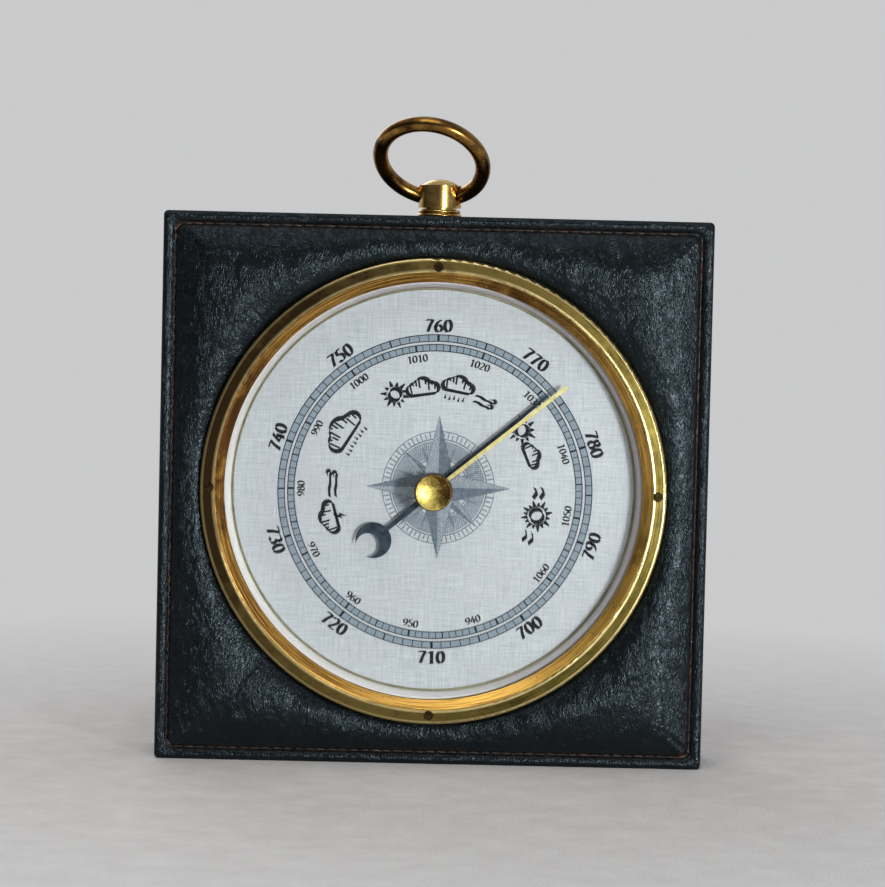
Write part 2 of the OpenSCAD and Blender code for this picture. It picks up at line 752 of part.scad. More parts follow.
module set_knob() {
    socket_r = knob_shaft_r + fit / 2;
    lip_r = knob_lip_w / 2;
    front_r = knob_r - knob_taper;
    dish_r = front_r - lip_r;
    dish_h = knob_dish_depth - lip_r;
    dish_ball_r = (dish_r * dish_r + dish_h * dish_h) / (2 * dish_h);
    color([0.80, 0.62, 0.25]) translate([0, 0, mid_z]) rotate([90, 0, 0]) difference() {
        translate([0, 0, knob_back_f]) rotate_extrude() {
            difference() {
                polygon([
                    [0, 0],
                    [knob_r, 0],
                    [knob_r, knob_edge_h],
                    [front_r, knob_h - lip_r],
                    [dish_r, knob_h - lip_r],
                    [0, knob_h - lip_r]
                ]);
                translate([0, knob_h - knob_dish_depth + dish_ball_r]) circle(r = dish_ball_r);
            }
            translate([dish_r, knob_h - lip_r]) circle(r = lip_r, $fn = 48);
        }
        translate([0, 0, knob_back_f - past]) cylinder(r = socket_r, h = knob_socket_f - knob_back_f + past);
    }
}

module knob_shaft() {
    color([0.60, 0.50, 0.30]) rod(0, 0, knob_shaft_r, shaft_end_f, knob_socket_f);
}

module glass_bush() {
    color([0.70, 0.58, 0.30]) difference() {
        union() {
            rod(0, 0, bush_r, bush_back_f, glass_f + bush_flange_t);
            rod(0, 0, bush_flange_r, glass_f, glass_f + bush_flange_t);
        }
        rod(0, 0, knob_shaft_r + fit, bush_back_f - past, glass_f + bush_flange_t + past);
    }
}

module bush_nut() {
    color([0.60, 0.50, 0.30]) difference() {
        rod(0, 0, bush_nut_r, glass_back_f - bush_nut_t, glass_back_f);
        rod(0, 0, bush_r + fit, glass_back_f - bush_nut_t - past, glass_back_f + past);
    }
}

module tension_washer() {
    color([0.55, 0.56, 0.56]) difference() {
        rod(0, 0, bush_r, washer_back_f, washer_back_f + washer_t);
        rod(0, 0, knob_shaft_r + fit, washer_back_f - past, washer_back_f + washer_t + past);
    }
}

// Turns its children clockwise by an angle, seen from the front, about the dial's axis
module clockwise(angle) {
    translate([0, 0, mid_z]) rotate([0, angle, 0]) translate([0, 0, -mid_z]) children();
}

module set_hand() {
    blade_f = set_hub_f + hand_hub_h / 3;
    color([0.80, 0.66, 0.32]) clockwise(set_hand_angle) difference() {
        union() {
            rod(0, 0, set_hub_r, set_hub_f, set_hub_f + hand_hub_h);
            slab(blade_f, blade_f + set_hand_t) translate([0, mid_z]) polygon([
                [-set_hand_w / 2, 0],
                [set_hand_w / 2, 0],
                [set_hand_w / 2, set_hand_l - set_hand_w],
                [0, set_hand_l],
                [-set_hand_w / 2, set_hand_l - set_hand_w]
            ]);
        }
        rod(0, 0, knob_shaft_r + fit / 2, set_hub_f - past, set_hub_f + hand_hub_h + past);
    }
}

module pointer() {
    blade_f = pointer_hub_f + pointer_hub_h / 2;
    color([0.13, 0.16, 0.22]) clockwise(pointer_angle) difference() {
        union() {
            rod(0, 0, pointer_hub_r, pointer_hub_f, pointer_hub_f + pointer_hub_h);
            slab(blade_f, blade_f + pointer_t) translate([0, mid_z]) difference() {
                union() {
                    polygon([
                        [-pointer_w / 2, 0],
                        [pointer_w / 2, 0],
                        [pointer_w / 6, pointer_l - 2],
                        [0, pointer_l],
                        [-pointer_w / 6, pointer_l - 2]
                    ]);
                    polygon([
                        [-pointer_w / 2.5, 0],
                        [pointer_w / 2.5, 0],
                        [pointer_w / 4.5, -crescent_at],
                        [-pointer_w / 4.5, -crescent_at]
                    ]);
                    translate([0, -crescent_at]) circle(r = crescent_r);
                }
                translate([0, -crescent_at - bite_shift]) circle(r = bite_r);
            }
        }
        rod(0, 0, arbor_r + fit / 2, pointer_hub_f - past, pointer_hub_f + pointer_hub_h + past);
    }
}

module pointer_arbor() {
    color([0.62, 0.63, 0.65]) {
        rod(0, 0, arbor_r, lower_bridge_f + fit, arbor_top_f);
        rod(0, 0, arbor_pivot_r, lower_bridge_back_f, lower_bridge_f + fit);
    }
}

module chain_pulley() {
    rim_back_f = pulley_back_f + pulley_flange_t;
    rim_front_f = rim_back_f + pulley_w;
    color([0.74, 0.60, 0.30]) difference() {
        union() {
            rod(0, 0, pulley_flange_r, pulley_back_f, rim_back_f);
            rod(0, 0, pulley_r, rim_back_f, rim_front_f);
            rod(0, 0, pulley_flange_r, rim_front_f, rim_front_f + pulley_flange_t);
        }
        rod(0, 0, arbor_r + fit / 2, pulley_back_f - past, rim_front_f + pulley_flange_t + past);
    }
}

module hairspring_collet() {
    color([0.74, 0.60, 0.30]) difference() {
        rod(0, 0, collet_r, collet_back_f, collet_back_f + collet_h);
        rod(0, 0, arbor_r + fit / 2, collet_back_f - past, collet_back_f + collet_h + past);
    }
}

// The spiral's radius grows evenly with its angle; both sides of the strip are offset along the radius
module hairspring() {
    steps = 20 * hairspring_turns;
    start_r = collet_r + fit + hairspring_w / 2;
    function spiral_r(i) = start_r + (hairspring_r - start_r) * i / steps;
    function spiral_point(i, side) = let (r = spiral_r(i) + side * hairspring_w / 2, a = 180 + 18 * i)
        [r * cos(a), mid_z + r * sin(a)];
    from_f = collet_back_f + (collet_h - hairspring_h) / 2;
    color([0.25, 0.30, 0.45]) slab(from_f, from_f + hairspring_h) polygon(concat(
        [for (i = [0:steps]) spiral_point(i, 1)],
        [for (i = [steps:-1:0]) spiral_point(i, -1)]
    ));
}

module hairspring_stud() {
    post_w = 1.2;
    inner_x = hairspring_r + hairspring_w / 2 + fit;
    bottom_f = collet_back_f;
    color([0.70, 0.58, 0.30]) slab(bottom_f, upper_bridge_back_f)
        translate([-inner_x - post_w, mid_z - post_w / 2]) square([post_w, post_w]);
}

module movement_housing() {
    back_in_f = housing_back_f + sheet_t;
    ledge_f = dial_back_f - sheet_t;
    adjuster_room = 1;
    color([0.62, 0.63, 0.64]) difference() {
        turned() polygon([
            [0, housing_back_f],
            [housing_r, housing_back_f],
            [housing_r, ledge_f],
            [collar_out_r, ledge_f],
            [collar_out_r, flange_f - sheet_t],
            [flange_r, flange_f - sheet_t],
            [flange_r, flange_f],
            [collar_in_r, flange_f],
            [collar_in_r, dial_back_f],
            [ledge_in_r, dial_back_f],
            [ledge_in_r, ledge_f],
            [housing_r - sheet_t, ledge_f],
            [housing_r - sheet_t, back_in_f],
            [0, back_in_f]
        ]);
        around_dial(base_screw_count)
            rod(0, base_screw_circle, base_screw_r + fit, housing_back_f - past, back_in_f + past);
        rod(-spring_bend_at, 0, adjuster_r + adjuster_room, housing_back_f - past, back_in_f + past);
    }
}

module movement_screws() {
    head_r = 2 * base_screw_r;
    head_f = housing_back_f - screw_head_t;
    color([0.66, 0.56, 0.32]) around_dial(base_screw_count) translate([0, 0, base_screw_circle])
    difference() {
        union() {
            rod(0, 0, head_r, head_f, housing_back_f);
            rod(0, 0, base_screw_r, housing_back_f, base_f - loose);
        }
        slot(head_r, base_screw_r / 2, head_f - past, head_f + screw_head_t / 2);
    }
}

module base_plate() {
    color([0.70, 0.60, 0.36]) difference() {
        rod(0, 0, base_r, base_back_f, base_f);
        around_dial(base_screw_count)
            rod(0, base_screw_circle, base_screw_r + fit, base_back_f - past, base_f + past);
        rod(-spring_bend_at, 0, adjuster_r + fit, base_back_f - past, base_f + past);
        spring_screw_places() rod(0, 0, spring_screw_r + fit, base_back_f - past, base_f + past);
    }
}

module pillar_places() {
    for (side = [-1, 1]) translate([0, 0, side * pillar_at]) children();
}

pillar_hole_r = 1;

module pillars() {
    color([0.74, 0.62, 0.34]) pillar_places() difference() {
        union() {
            rod(0, 0, pillar_r, base_f, lower_bridge_back_f);
            rod(0, 0, pillar_top_r, lower_bridge_back_f, upper_bridge_back_f);
        }
        rod(0, 0, pillar_hole_r + fit, lower_bridge_f, upper_bridge_back_f + past);
    }
}

module pillar_spacers() {
    color([0.74, 0.62, 0.34]) pillar_places() difference() {
        rod(0, 0, pillar_r, lower_bridge_f, upper_bridge_back_f);
        rod(0, 0, pillar_top_r + fit, lower_bridge_f - past, upper_bridge_back_f + past);
    }
}

// Flat bar from one pillar to the other with round ends
module bridge_outline() {
    translate([0, mid_z]) {
        square([bridge_w, 2 * pillar_at], center = true);
        for (side = [-1, 1]) translate([0, side * pillar_at]) circle(r = bridge_w / 2);
    }
}

module lower_bridge() {
    color([0.72, 0.60, 0.32]) difference() {
        slab(lower_bridge_back_f, lower_bridge_f) bridge_outline();
        rod(0, 0, arbor_pivot_r + fit, lower_bridge_back_f - past, lower_bridge_f + past);
        pillar_places() rod(0, 0, pillar_top_r + fit, lower_bridge_back_f - past, lower_bridge_f + past);
    }
}

module upper_bridge() {
    color([0.72, 0.60, 0.32]) difference() {
        slab(upper_bridge_back_f, upper_bridge_f) bridge_outline();
        rod(0, 0, arbor_r + fit, upper_bridge_back_f - past, upper_bridge_f + past);
        pillar_places() rod(0, 0, pillar_hole_r + fit, upper_bridge_back_f - past, upper_bridge_f + past);
    }
}

module bridge_screws() {
    head_r = 2 * pillar_hole_r;
    color([0.60, 0.60, 0.62]) pillar_places() difference() {
        union() {
            rod(0, 0, head_r, upper_bridge_f, upper_bridge_f + bridge_head_t);
            rod(0, 0, pillar_hole_r, lower_bridge_f + loose, upper_bridge_f);
        }
        head_f = upper_bridge_f + bridge_head_t;
        slot(head_r, pillar_hole_r / 2, head_f - bridge_head_t / 2, head_f + past);
    }
}

module capsule_post() {
    color([0.72, 0.60, 0.32]) rod(0, 0, post_r, base_f, capsule_f);
}

// One pressed diaphragm: waves in its face, a wall down to the joint and a soldered rim; side 1 looks forward
module diaphragm(side) {
    joint_f = capsule_f + capsule_h / 2;
    face_h = capsule_h / 2 - wave_h / 2;
    face_r = capsule_r - rim_w;
    flat_r = post_r;
    steps = 8 * capsule_rings;
    function wave(i) = let (share = i / steps)
        [flat_r + share * (face_r - flat_r), face_h + wave_h / 2 * cos(360 * capsule_rings * share)];
    outside = [
        [0, face_h + wave_h / 2],
        for (i = [0:steps]) wave(i),
        [face_r, rim_t],
        [capsule_r, rim_t],
        [capsule_r, 0]
    ];
    inside = [
        [face_r - diaphragm_t, 0],
        [face_r - diaphragm_t, face_h - diaphragm_t],
        for (i = [steps - 1:-1:0]) wave(i) - [0, diaphragm_t],
        [0, face_h + wave_h / 2 - diaphragm_t]
    ];
    turned() polygon([for (p = concat(outside, inside)) [p[0], joint_f + side * p[1]]]);
}

module capsule_back() {
    color([0.74, 0.74, 0.70]) diaphragm(-1);
}

module capsule_front() {
    color([0.76, 0.76, 0.72]) diaphragm(1);
}

module capsule_stud() {
    cross_pin_f = lever_f + cross_pin_r;
    cross_pin_l = 6;
    color([0.66, 0.66, 0.68]) {
        rod(0, 0, stud_r, capsule_top_f, stud_top_f);
        translate([0, -cross_pin_f, mid_z - cross_pin_l / 2]) cylinder(r = cross_pin_r, h = cross_pin_l);
    }
}

spring_screw_r = 1;
spring_foot = 10;
block_back = 4;

module spring_screw_places() {
    for (side = [-1, 1]) translate([spring_foot / 2 - spring_bend_at, 0, side * spring_w / 4]) children();
}

module spring_block() {
    block_l = spring_foot + block_back;
    color([0.72, 0.60, 0.32]) difference() {
        slab(base_f, base_f + block_t) translate([-spring_bend_at - block_back, mid_z - spring_w / 2])
            square([block_l, spring_w]);
        rod(-spring_bend_at, 0, adjuster_r + fit, base_f - past, base_f + block_t + past);
        spring_screw_places() rod(0, 0, spring_screw_r + fit, base_f - past, base_f + block_t + past);
    }
}

rivet_r = 0.6;
rivet_x = [7, 9.5];
leaf_end_x = 11.2;

// Strip bent into a C: the lower leaf is screwed down, the upper leaf reaches over the capsule
module mainspring() {
    bend_r = spring_rise / 2;
    middle_f = (leaf_low_f + leaf_top_f) / 2;
    color([0.35, 0.38, 0.42]) difference() {
        translate([-spring_bend_at, 0, mid_z - spring_w / 2]) linear_extrude(spring_w) {
            translate([0, -leaf_top_f - spring_t / 2]) square([spring_bend_at + leaf_end_x, spring_t]);
            translate([0, -leaf_low_f - spring_t / 2]) square([spring_foot, spring_t]);
            translate([0, -middle_f]) intersection() {
                difference() {
                    circle(r = bend_r + spring_t / 2);
                    circle(r = bend_r - spring_t / 2);
                }
                translate([-2 * bend_r, -2 * bend_r]) square([2 * bend_r, 4 * bend_r]);
            }
        }
        rod(0, 0, stud_r + fit, leaf_top_f - spring_t, leaf_top_f + spring_t);
        for (x = rivet_x) rod(x, 0, rivet_r + fit, leaf_top_f - spring_t, leaf_top_f + spring_t);
        spring_screw_places() rod(0, 0, spring_screw_r + fit, leaf_low_f - spring_t, leaf_low_f + spring_t);
    }
}

module spring_screws() {
    head_t = 0.6;
    spring_head_r = 1.9;
    seat_f = leaf_low_f + spring_t / 2;
    color([0.60, 0.60, 0.62]) spring_screw_places() difference() {
        union() {
            rod(0, 0, spring_head_r, seat_f, seat_f + head_t);
            rod(0, 0, spring_screw_r, base_back_f + slip, seat_f);
        }
        slot(2 * spring_screw_r, spring_screw_r / 2, seat_f + head_t / 2, seat_f + head_t + past);
    }
}

module adjusting_screw() {
    end_f = base_f + block_t - fit;
    back_end_f = base_back_f - sheet_t / 2;
    color([0.72, 0.60, 0.30]) difference() {
        rod(-spring_bend_at, 0, adjuster_r, back_end_f, end_f);
        translate([-spring_bend_at, 0, 0])
            slot(adjuster_r, adjuster_r / 3, back_end_f - past, back_end_f + adjuster_r / 2);
    }
}

lever_start_x = 5;

module lever_arm() {
    slot_wall = 0.4;
    tip_x = link_at + link_w / 2 + slot_wall;
    color([0.74, 0.62, 0.34]) difference() {
        slab(lever_f, lever_top_f) translate([0, mid_z]) polygon([
            [lever_start_x, -lever_w / 2],
            [leaf_end_x, -lever_w / 2],
            [tip_x, -lever_tip_w / 2],
            [tip_x, lever_tip_w / 2],
            [leaf_end_x, lever_w / 2],
            [lever_start_x, lever_w / 2]
        ]);
        for (x = rivet_x) rod(x, 0, rivet_r + fit, lever_f - past, lever_top_f + past);
        slab(lever_f - past, lever_top_f + past)
            translate([link_at - link_w / 2 - fit, mid_z - fit]) square([link_w + 2 * fit, link_t + 2 * fit]);
    }
}

module lever_rivets() {
    head_r = 1.1;
    head_t = 0.4;
    under_f = leaf_top_f - spring_t / 2;
    color([0.74, 0.62, 0.34]) for (x = rivet_x) {
        rod(x, 0, head_r, under_f - head_t, under_f);
        rod(x, 0, rivet_r, under_f, lever_top_f);
        rod(x, 0, head_r, lever_top_f, lever_top_f + head_t);
    }
}

// Thin upright strip; its eye goes round the crank's pin with play, its head is held in the lever
module connecting_link() {
    eye_r = crank_pin_r + link_gap;
    head_f = lever_top_f + link_head_h;
    color([0.66, 0.67, 0.68]) translate([0, 0, mid_z]) linear_extrude(link_t) difference() {
        union() {
            translate([link_at - link_w / 2, -head_f]) square([link_w, head_f - pin_f]);
            translate([link_at, -pin_f]) circle(r = link_w / 2);
        }
        translate([link_at, -pin_f]) circle(r = eye_r);
    }
}

module rocking_shaft() {
    crank_z = -crank_gap - crank_t;
    pin_end = 0.5;
    half_l = rocker_span / 2 - slip;
    arm_w = 1.2;
    arm_tip = 0.9;
    color([0.66, 0.67, 0.68]) translate([rocker_at, -rocker_f, mid_z]) {
        translate([0, 0, -half_l]) cylinder(r = rocker_r, h = 2 * half_l);
        translate([0, 0, -half_l - bearing_t]) cylinder(r = rocker_pivot_r, h = 2 * (half_l + bearing_t));
        rotate([0, 0, rocker_turn]) {
            translate([0, 0, crank_z]) linear_extrude(crank_t) {
                translate([0, -rocker_r]) square([crank_l, 2 * rocker_r]);
                translate([crank_l, 0]) circle(r = rocker_r);
            }
            translate([crank_l, 0, crank_z])
                cylinder(r = crank_pin_r, h = crank_t + crank_gap + link_t + pin_end);
            translate([0, 0, arm_out - arm_t / 2]) linear_extrude(arm_t) {
                translate([-arm_w / 2, -arm_reach - arm_tip]) square([arm_w, arm_reach + arm_tip]);
                circle(r = 2 * rocker_r);
            }
        }
    }
}

module shaft_bearings() {
    bearing_h = rocker_h + 3.5 * rocker_pivot_r;
    color([0.72, 0.60, 0.32]) for (side = [-1, 1])
        translate([rocker_at, 0, mid_z + side * (rocker_span / 2 + bearing_t / 2)]) difference() {
            translate([-bearing_w / 2, -base_f - bearing_h, -bearing_t / 2])
                cube([bearing_w, bearing_h, bearing_t]);
            translate([0, -rocker_f, 0]) cylinder(r = rocker_pivot_r + fit, h = 2 * bearing_t, center = true);
        }
}

// From the arm's tip to the top of the pulley, where it winds on
module pull_chain() {
    hold = 0.5;
    from = [rocker_at + arm_reach * sin(rocker_turn) - hold, arm_out - arm_t / 2 - chain_r];
    to = [0, pulley_r + chain_r + fit];
    run = [to[0] - from[0], to[1] - from[1]];
    length = norm(run);
    slope = atan2(-run[1], -run[0]);
    color([0.50, 0.46, 0.36]) translate([to[0], -chain_f, mid_z + to[1]]) rotate([0, 90 - slope, 0])
        cylinder(r = chain_r, h = length, $fn = 24);
}

case_board();
side_leather();
front_leather();
foam_pad();
seam_thread();
back_cover();
cover_screws();
bezel();
bezel_screws();
glass();
glass_gasket();
reflector_ring();
trim_ring();
dial_plate();
pendant();
pendant_collar();
hanging_ring();
set_knob();
knob_shaft();
glass_bush();
bush_nut();
tension_washer();
set_hand();
pointer();
pointer_arbor();
chain_pulley();
hairspring_collet();
hairspring();
hairspring_stud();
movement_housing();
movement_screws();
base_plate();
pillars();
pillar_spacers();
lower_bridge();
upper_bridge();
bridge_screws();
capsule_post();
capsule_back();
capsule_front();
capsule_stud();
spring_block();
mainspring();
spring_screws();
adjusting_screw();
lever_arm();
lever_rivets();
connecting_link();
rocking_shaft();
shaft_bearings();
pull_chain();
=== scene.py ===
"""Looks of the square leather wall barometer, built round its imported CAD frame."""

from math import cos, exp, hypot, pi, radians, sin, sqrt

import bpy
import numpy as np
from mathutils import Matrix, Vector


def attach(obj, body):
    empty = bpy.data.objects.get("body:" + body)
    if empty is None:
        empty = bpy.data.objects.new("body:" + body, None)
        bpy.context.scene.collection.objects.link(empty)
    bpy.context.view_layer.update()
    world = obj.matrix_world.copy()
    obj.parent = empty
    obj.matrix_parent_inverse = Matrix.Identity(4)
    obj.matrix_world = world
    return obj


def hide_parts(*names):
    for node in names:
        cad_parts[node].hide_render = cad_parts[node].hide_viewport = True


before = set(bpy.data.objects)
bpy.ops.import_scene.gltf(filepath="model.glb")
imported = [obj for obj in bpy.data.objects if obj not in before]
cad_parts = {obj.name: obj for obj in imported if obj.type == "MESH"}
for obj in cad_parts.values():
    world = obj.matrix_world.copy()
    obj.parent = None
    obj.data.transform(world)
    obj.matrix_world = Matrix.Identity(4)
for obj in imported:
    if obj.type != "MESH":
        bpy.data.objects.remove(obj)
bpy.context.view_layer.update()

MM = 0.001

# The case and its places, in mm: distances forward from the case's middle, and insets from its outer edge
MID_Z = 85
CASE_HALF = 85
CORNER_R = 1.5
CORNER_GROWTH = 0.3
BACK_F = -17
BOARD_F = 15.8
LEATHER_T = 1.2
SEAM_INSET = 3.9
SHOULDER_INSET = 6.5
GROOVE_F = 16.1
PAD_F = 19.1
TUCK_R = 72.45
TUCK_F = 18.35
CORNER_PUFF = 2
DIAL_F = 10

# Radii of the dial, the bezel's crest, and the bright lines (rubbed brass, painted highlight) on it and at
# its outer edge
DIAL_R = 64.4
CREST_R = 67.6
CREST_LINE_R = 68.1
RIM_LINE_R = 71.7


def at(x, z, f):
    """A point x mm right of the dial's axis, z mm above it and f mm forward of the case's middle."""
    return Vector((x * MM, -f * MM, (MID_Z + z) * MM))


# The camera: its place in metres, how far it looks down, to the right and askew, and its focal length in the
# photograph's pixels, chosen so that the case and the dial fall where they do in the photograph
CAMERA_PLACE = (-0.00457, -0.917, 0.144)
CAMERA_DOWN = radians(2.805)
CAMERA_TURN = radians(0.447)
CAMERA_ROLL = radians(1.334)
FOCAL_PIXELS = 2914
IMAGE_WIDTH = 885


def new_object(name, data):
    """An object in the scene."""
    made = bpy.data.objects.new(name, data)
    bpy.context.scene.collection.objects.link(made)
    return made


def make_camera():
    """The camera that sees the object as the photograph does."""
    ahead = Vector((
        sin(CAMERA_TURN) * cos(CAMERA_DOWN),
        cos(CAMERA_TURN) * cos(CAMERA_DOWN),
        -sin(CAMERA_DOWN),
    ))
    level = Vector((cos(CAMERA_TURN), -sin(CAMERA_TURN), 0))
    right = level * cos(CAMERA_ROLL) + level.cross(ahead) * sin(CAMERA_ROLL)
    up = right.cross(ahead)
    camera = new_object("camera", bpy.data.cameras.new("camera"))
    camera.data.sensor_fit = "HORIZONTAL"
    camera.data.sensor_width = 36
    camera.data.lens = FOCAL_PIXELS * 36 / IMAGE_WIDTH
    camera.data.clip_start = 0.01
    turned = Matrix((right, up, -ahead)).transposed().to_4x4()
    camera.matrix_world = Matrix.Translation(CAMERA_PLACE) @ turned
    bpy.context.scene.camera = camera


class Shader:
    """A material, or the world, with short calls for the nodes used here."""

    def __init__(self, name, world=False):
        self.data = (bpy.data.worlds if world else bpy.data.materials).new(name)
        self.data.use_nodes = True
        self.nodes = self.data.node_tree.nodes
        self.links = self.data.node_tree.links
        self.surface = self.nodes.get("Principled BSDF")

    def put(self, socket, value):
        """Links a socket to another node's output, or gives it a plain value."""
        if isinstance(value, bpy.types.NodeSocket):
            self.links.new(value, socket)
        elif isinstance(value, (tuple, list)) and len(value) == 3 and socket.type == "RGBA":
            socket.default_value = (*value, 1)
        else:
            socket.default_value = value

    def node(self, kind, inputs=(), **settings):
        """A new shader node with its sockets and settings filled in."""
        made = self.nodes.new("ShaderNode" + kind)
        for key, value in settings.items():
            setattr(made, key, value)
        for key, value in dict(inputs).items():
            self.put(made.inputs[key], value)
        return made

    def math(self, operation, a, b=0):
        return self.node("Math", {0: a, 1: b}, operation=operation).outputs[0]

    def add(self, a, b):
        return self.math("ADD", a, b)

    def less(self, a, b):
        return self.math("SUBTRACT", a, b)

    def times(self, a, b):
        return self.math("MULTIPLY", a, b)

    def highest(self, a, b):
        return self.math("MAXIMUM", a, b)

    def span(self, value, low, high, to_low=0, to_high=1):
        """Carries a value from one range to another, and stops at its ends."""
        return self.node("MapRange", {
            "Value": value, "From Min": low, "From Max": high, "To Min": to_low, "To Max": to_high,
        }).outputs[0]

    def blend(self, value, low, high, a, b, most=1):
        """Goes from colour a to colour b while a value goes from low to high."""
        return self.mix(self.span(value, low, high, 0, most), a, b)

    def mix(self, share, a, b):
        """Mixes two colours."""
        return self.node("Mix", {0: share, 6: a, 7: b}, data_type="RGBA").outputs[2]

    def place(self, stretch=(1, 1, 1)):
        """The object's own coordinates in mm, each multiplied by its stretch."""
        coordinates = self.node("TexCoord").outputs["Object"]
        scales = [s / MM for s in stretch]
        return self.node("VectorMath", {0: coordinates, 1: scales}, operation="MULTIPLY").outputs[0]

    def split(self, vector):
        return self.node("SeparateXYZ", {"Vector": vector}).outputs

    def join(self, x, y, z):
        return self.node("CombineXYZ", {"X": x, "Y": y, "Z": z}).outputs[0]

    def from_axis(self):
        """How far a point lies to the right of the dial's axis, above it and from it, in mm."""
        x, _, z = self.split(self.place())
        up = self.less(z, MID_Z)
        return x, up, self.math("SQRT", self.add(self.times(x, x), self.times(up, up)))

    def round_place(self, along, across):
        """Coordinates that run round the dial's axis: turns are stretched by along, radii in mm by across."""
        x, up, radius = self.from_axis()
        one = self.times(self.math("DIVIDE", x, radius), along)
        two = self.times(self.math("DIVIDE", up, radius), along)
        return self.join(one, two, self.times(radius, across))

    def noise(self, vector, scale=1, detail=3, rough=0.5, twist=0):
        return self.node("TexNoise", {
            "Vector": vector, "Scale": scale, "Detail": detail, "Roughness": rough, "Distortion": twist,
        }).outputs["Fac"]

    def cells(self, vector, scale=1, feature="DISTANCE_TO_EDGE"):
        """Distance to the nearest border of cells, or with F1 to the nearest cell's middle."""
        cells = self.node("TexVoronoi", {"Vector": vector, "Scale": scale}, feature=feature)
        return cells.outputs["Distance"]

    def specks(self, vector, scale, edge, spread, seldom, strength=1):
        """Small round dots with a soft edge, only where a slow noise passes from one value to another."""
        dots = self.span(self.cells(vector, scale, feature="F1"), *edge, strength, 0)
        return self.times(dots, self.span(self.noise(vector, spread, detail=1), *seldom))

    def bump(self, height, depth_mm, normal=None):
        """Raises the surface by up to depth_mm where height is 1."""
        made = self.node("Bump", {"Height": height, "Distance": depth_mm * MM})
        if normal is not None:
            self.put(made.inputs["Normal"], normal)
        return made.outputs[0]

    def finish(self, **values):
        """Sets the surface shader's sockets; underscores in the names stand for spaces."""
        for key, value in values.items():
            self.put(self.surface.inputs[key.replace("_", " ")], value)
        return self.data


DARK_SPECK = (0.035, 0.022, 0.012)


def metal(name, bright, dull, rough, tarnish=0.35, tarnish_mm=3, grain=(1, 1, 1), grain_mm=0.004,
          speck=0, metallic=1):
    """A metal whose colour goes from bright to dull in patches, with a drawn grain and dark specks."""
    s = Shader(name)
    place = s.place()
    patches = s.noise(place, 1 / tarnish_mm, detail=5, rough=0.6)
    fine = s.noise(s.place(grain), 1.6, detail=4, rough=0.65)
    share = s.span(s.add(patches, s.times(fine, 0.3)), 0.85 - tarnish, 1.05 - tarnish * 0.5)
    colour = s.mix(share, bright, dull)
    if speck:
        start = 0.62 - speck * 0.2
        colour = s.mix(s.specks(place, 0.9, (0.06, 0.16), 0.33, (start, start + 0.04)), colour, DARK_SPECK)
    roughness = s.span(s.add(fine, patches), 0.6, 1.4, rough * 0.75, min(1, rough * 1.35))
    return s.finish(Base_Color=colour, Roughness=roughness, Metallic=metallic, Normal=s.bump(fine, grain_mm))


def pale_trim():
    """The trim ring's turned metal, with streaks that run round and some patina."""
    s = Shader("pale_trim")
    bright, dull, dark = (0.4, 0.37, 0.22), (0.26, 0.235, 0.115), (0.12, 0.1, 0.045)
    streaks = s.noise(s.round_place(3, 3.2), detail=5, rough=0.7)
    patches = s.noise(s.place(), 0.16, detail=6, rough=0.62)
    colour = s.blend(streaks, 0.35, 0.7, bright, dull)
    colour = s.blend(patches, 0.5, 0.8, colour, dark)
    roughness = s.span(s.add(streaks, patches), 0.7, 1.3, 0.288, 0.504)
    return s.finish(Base_Color=colour, Roughness=roughness, Metallic=1, Normal=s.bump(streaks, 0.006))


def satin_reflector():
    """The pale ring under the glass, with painted light and shade: paler at its lower left, where the lamp
    falls, and greyer at its upper right, in the bezel's shade.
    """
    s = Shader("satin_reflector")
    painted_lit_pale, painted_shade_grey, scratched = (0.96, 0.94, 0.9), (0.6, 0.555, 0.55), (0.5, 0.47, 0.45)
    x, up = s.from_axis()[:2]
    streaks = s.noise(s.round_place(3, 3.2), detail=5, rough=0.7)
    patches = s.noise(s.place(), 0.16, detail=5, rough=0.6)
    # Painted light and shade: paler towards the lower left, where the lamp falls, greyer towards the upper
    # right in the bezel's shade, varied by random patches
    shade_side_and_patches = s.add(s.times(x, 0.82 / DIAL_R), s.times(up, 0.57 / DIAL_R))
    shade_side_and_patches = s.add(shade_side_and_patches, s.times(s.less(patches, 0.5), 0.5))
    colour = s.blend(shade_side_and_patches, -0.75, 0.35, painted_lit_pale, painted_shade_grey)
    colour = s.blend(streaks, 0.45, 0.75, colour, scratched, most=0.3)
    return s.finish(Base_Color=colour, Metallic=0.4, Roughness=s.span(streaks, 0.3, 0.7, 0.3, 0.42),
                    Normal=s.bump(streaks, 0.006))


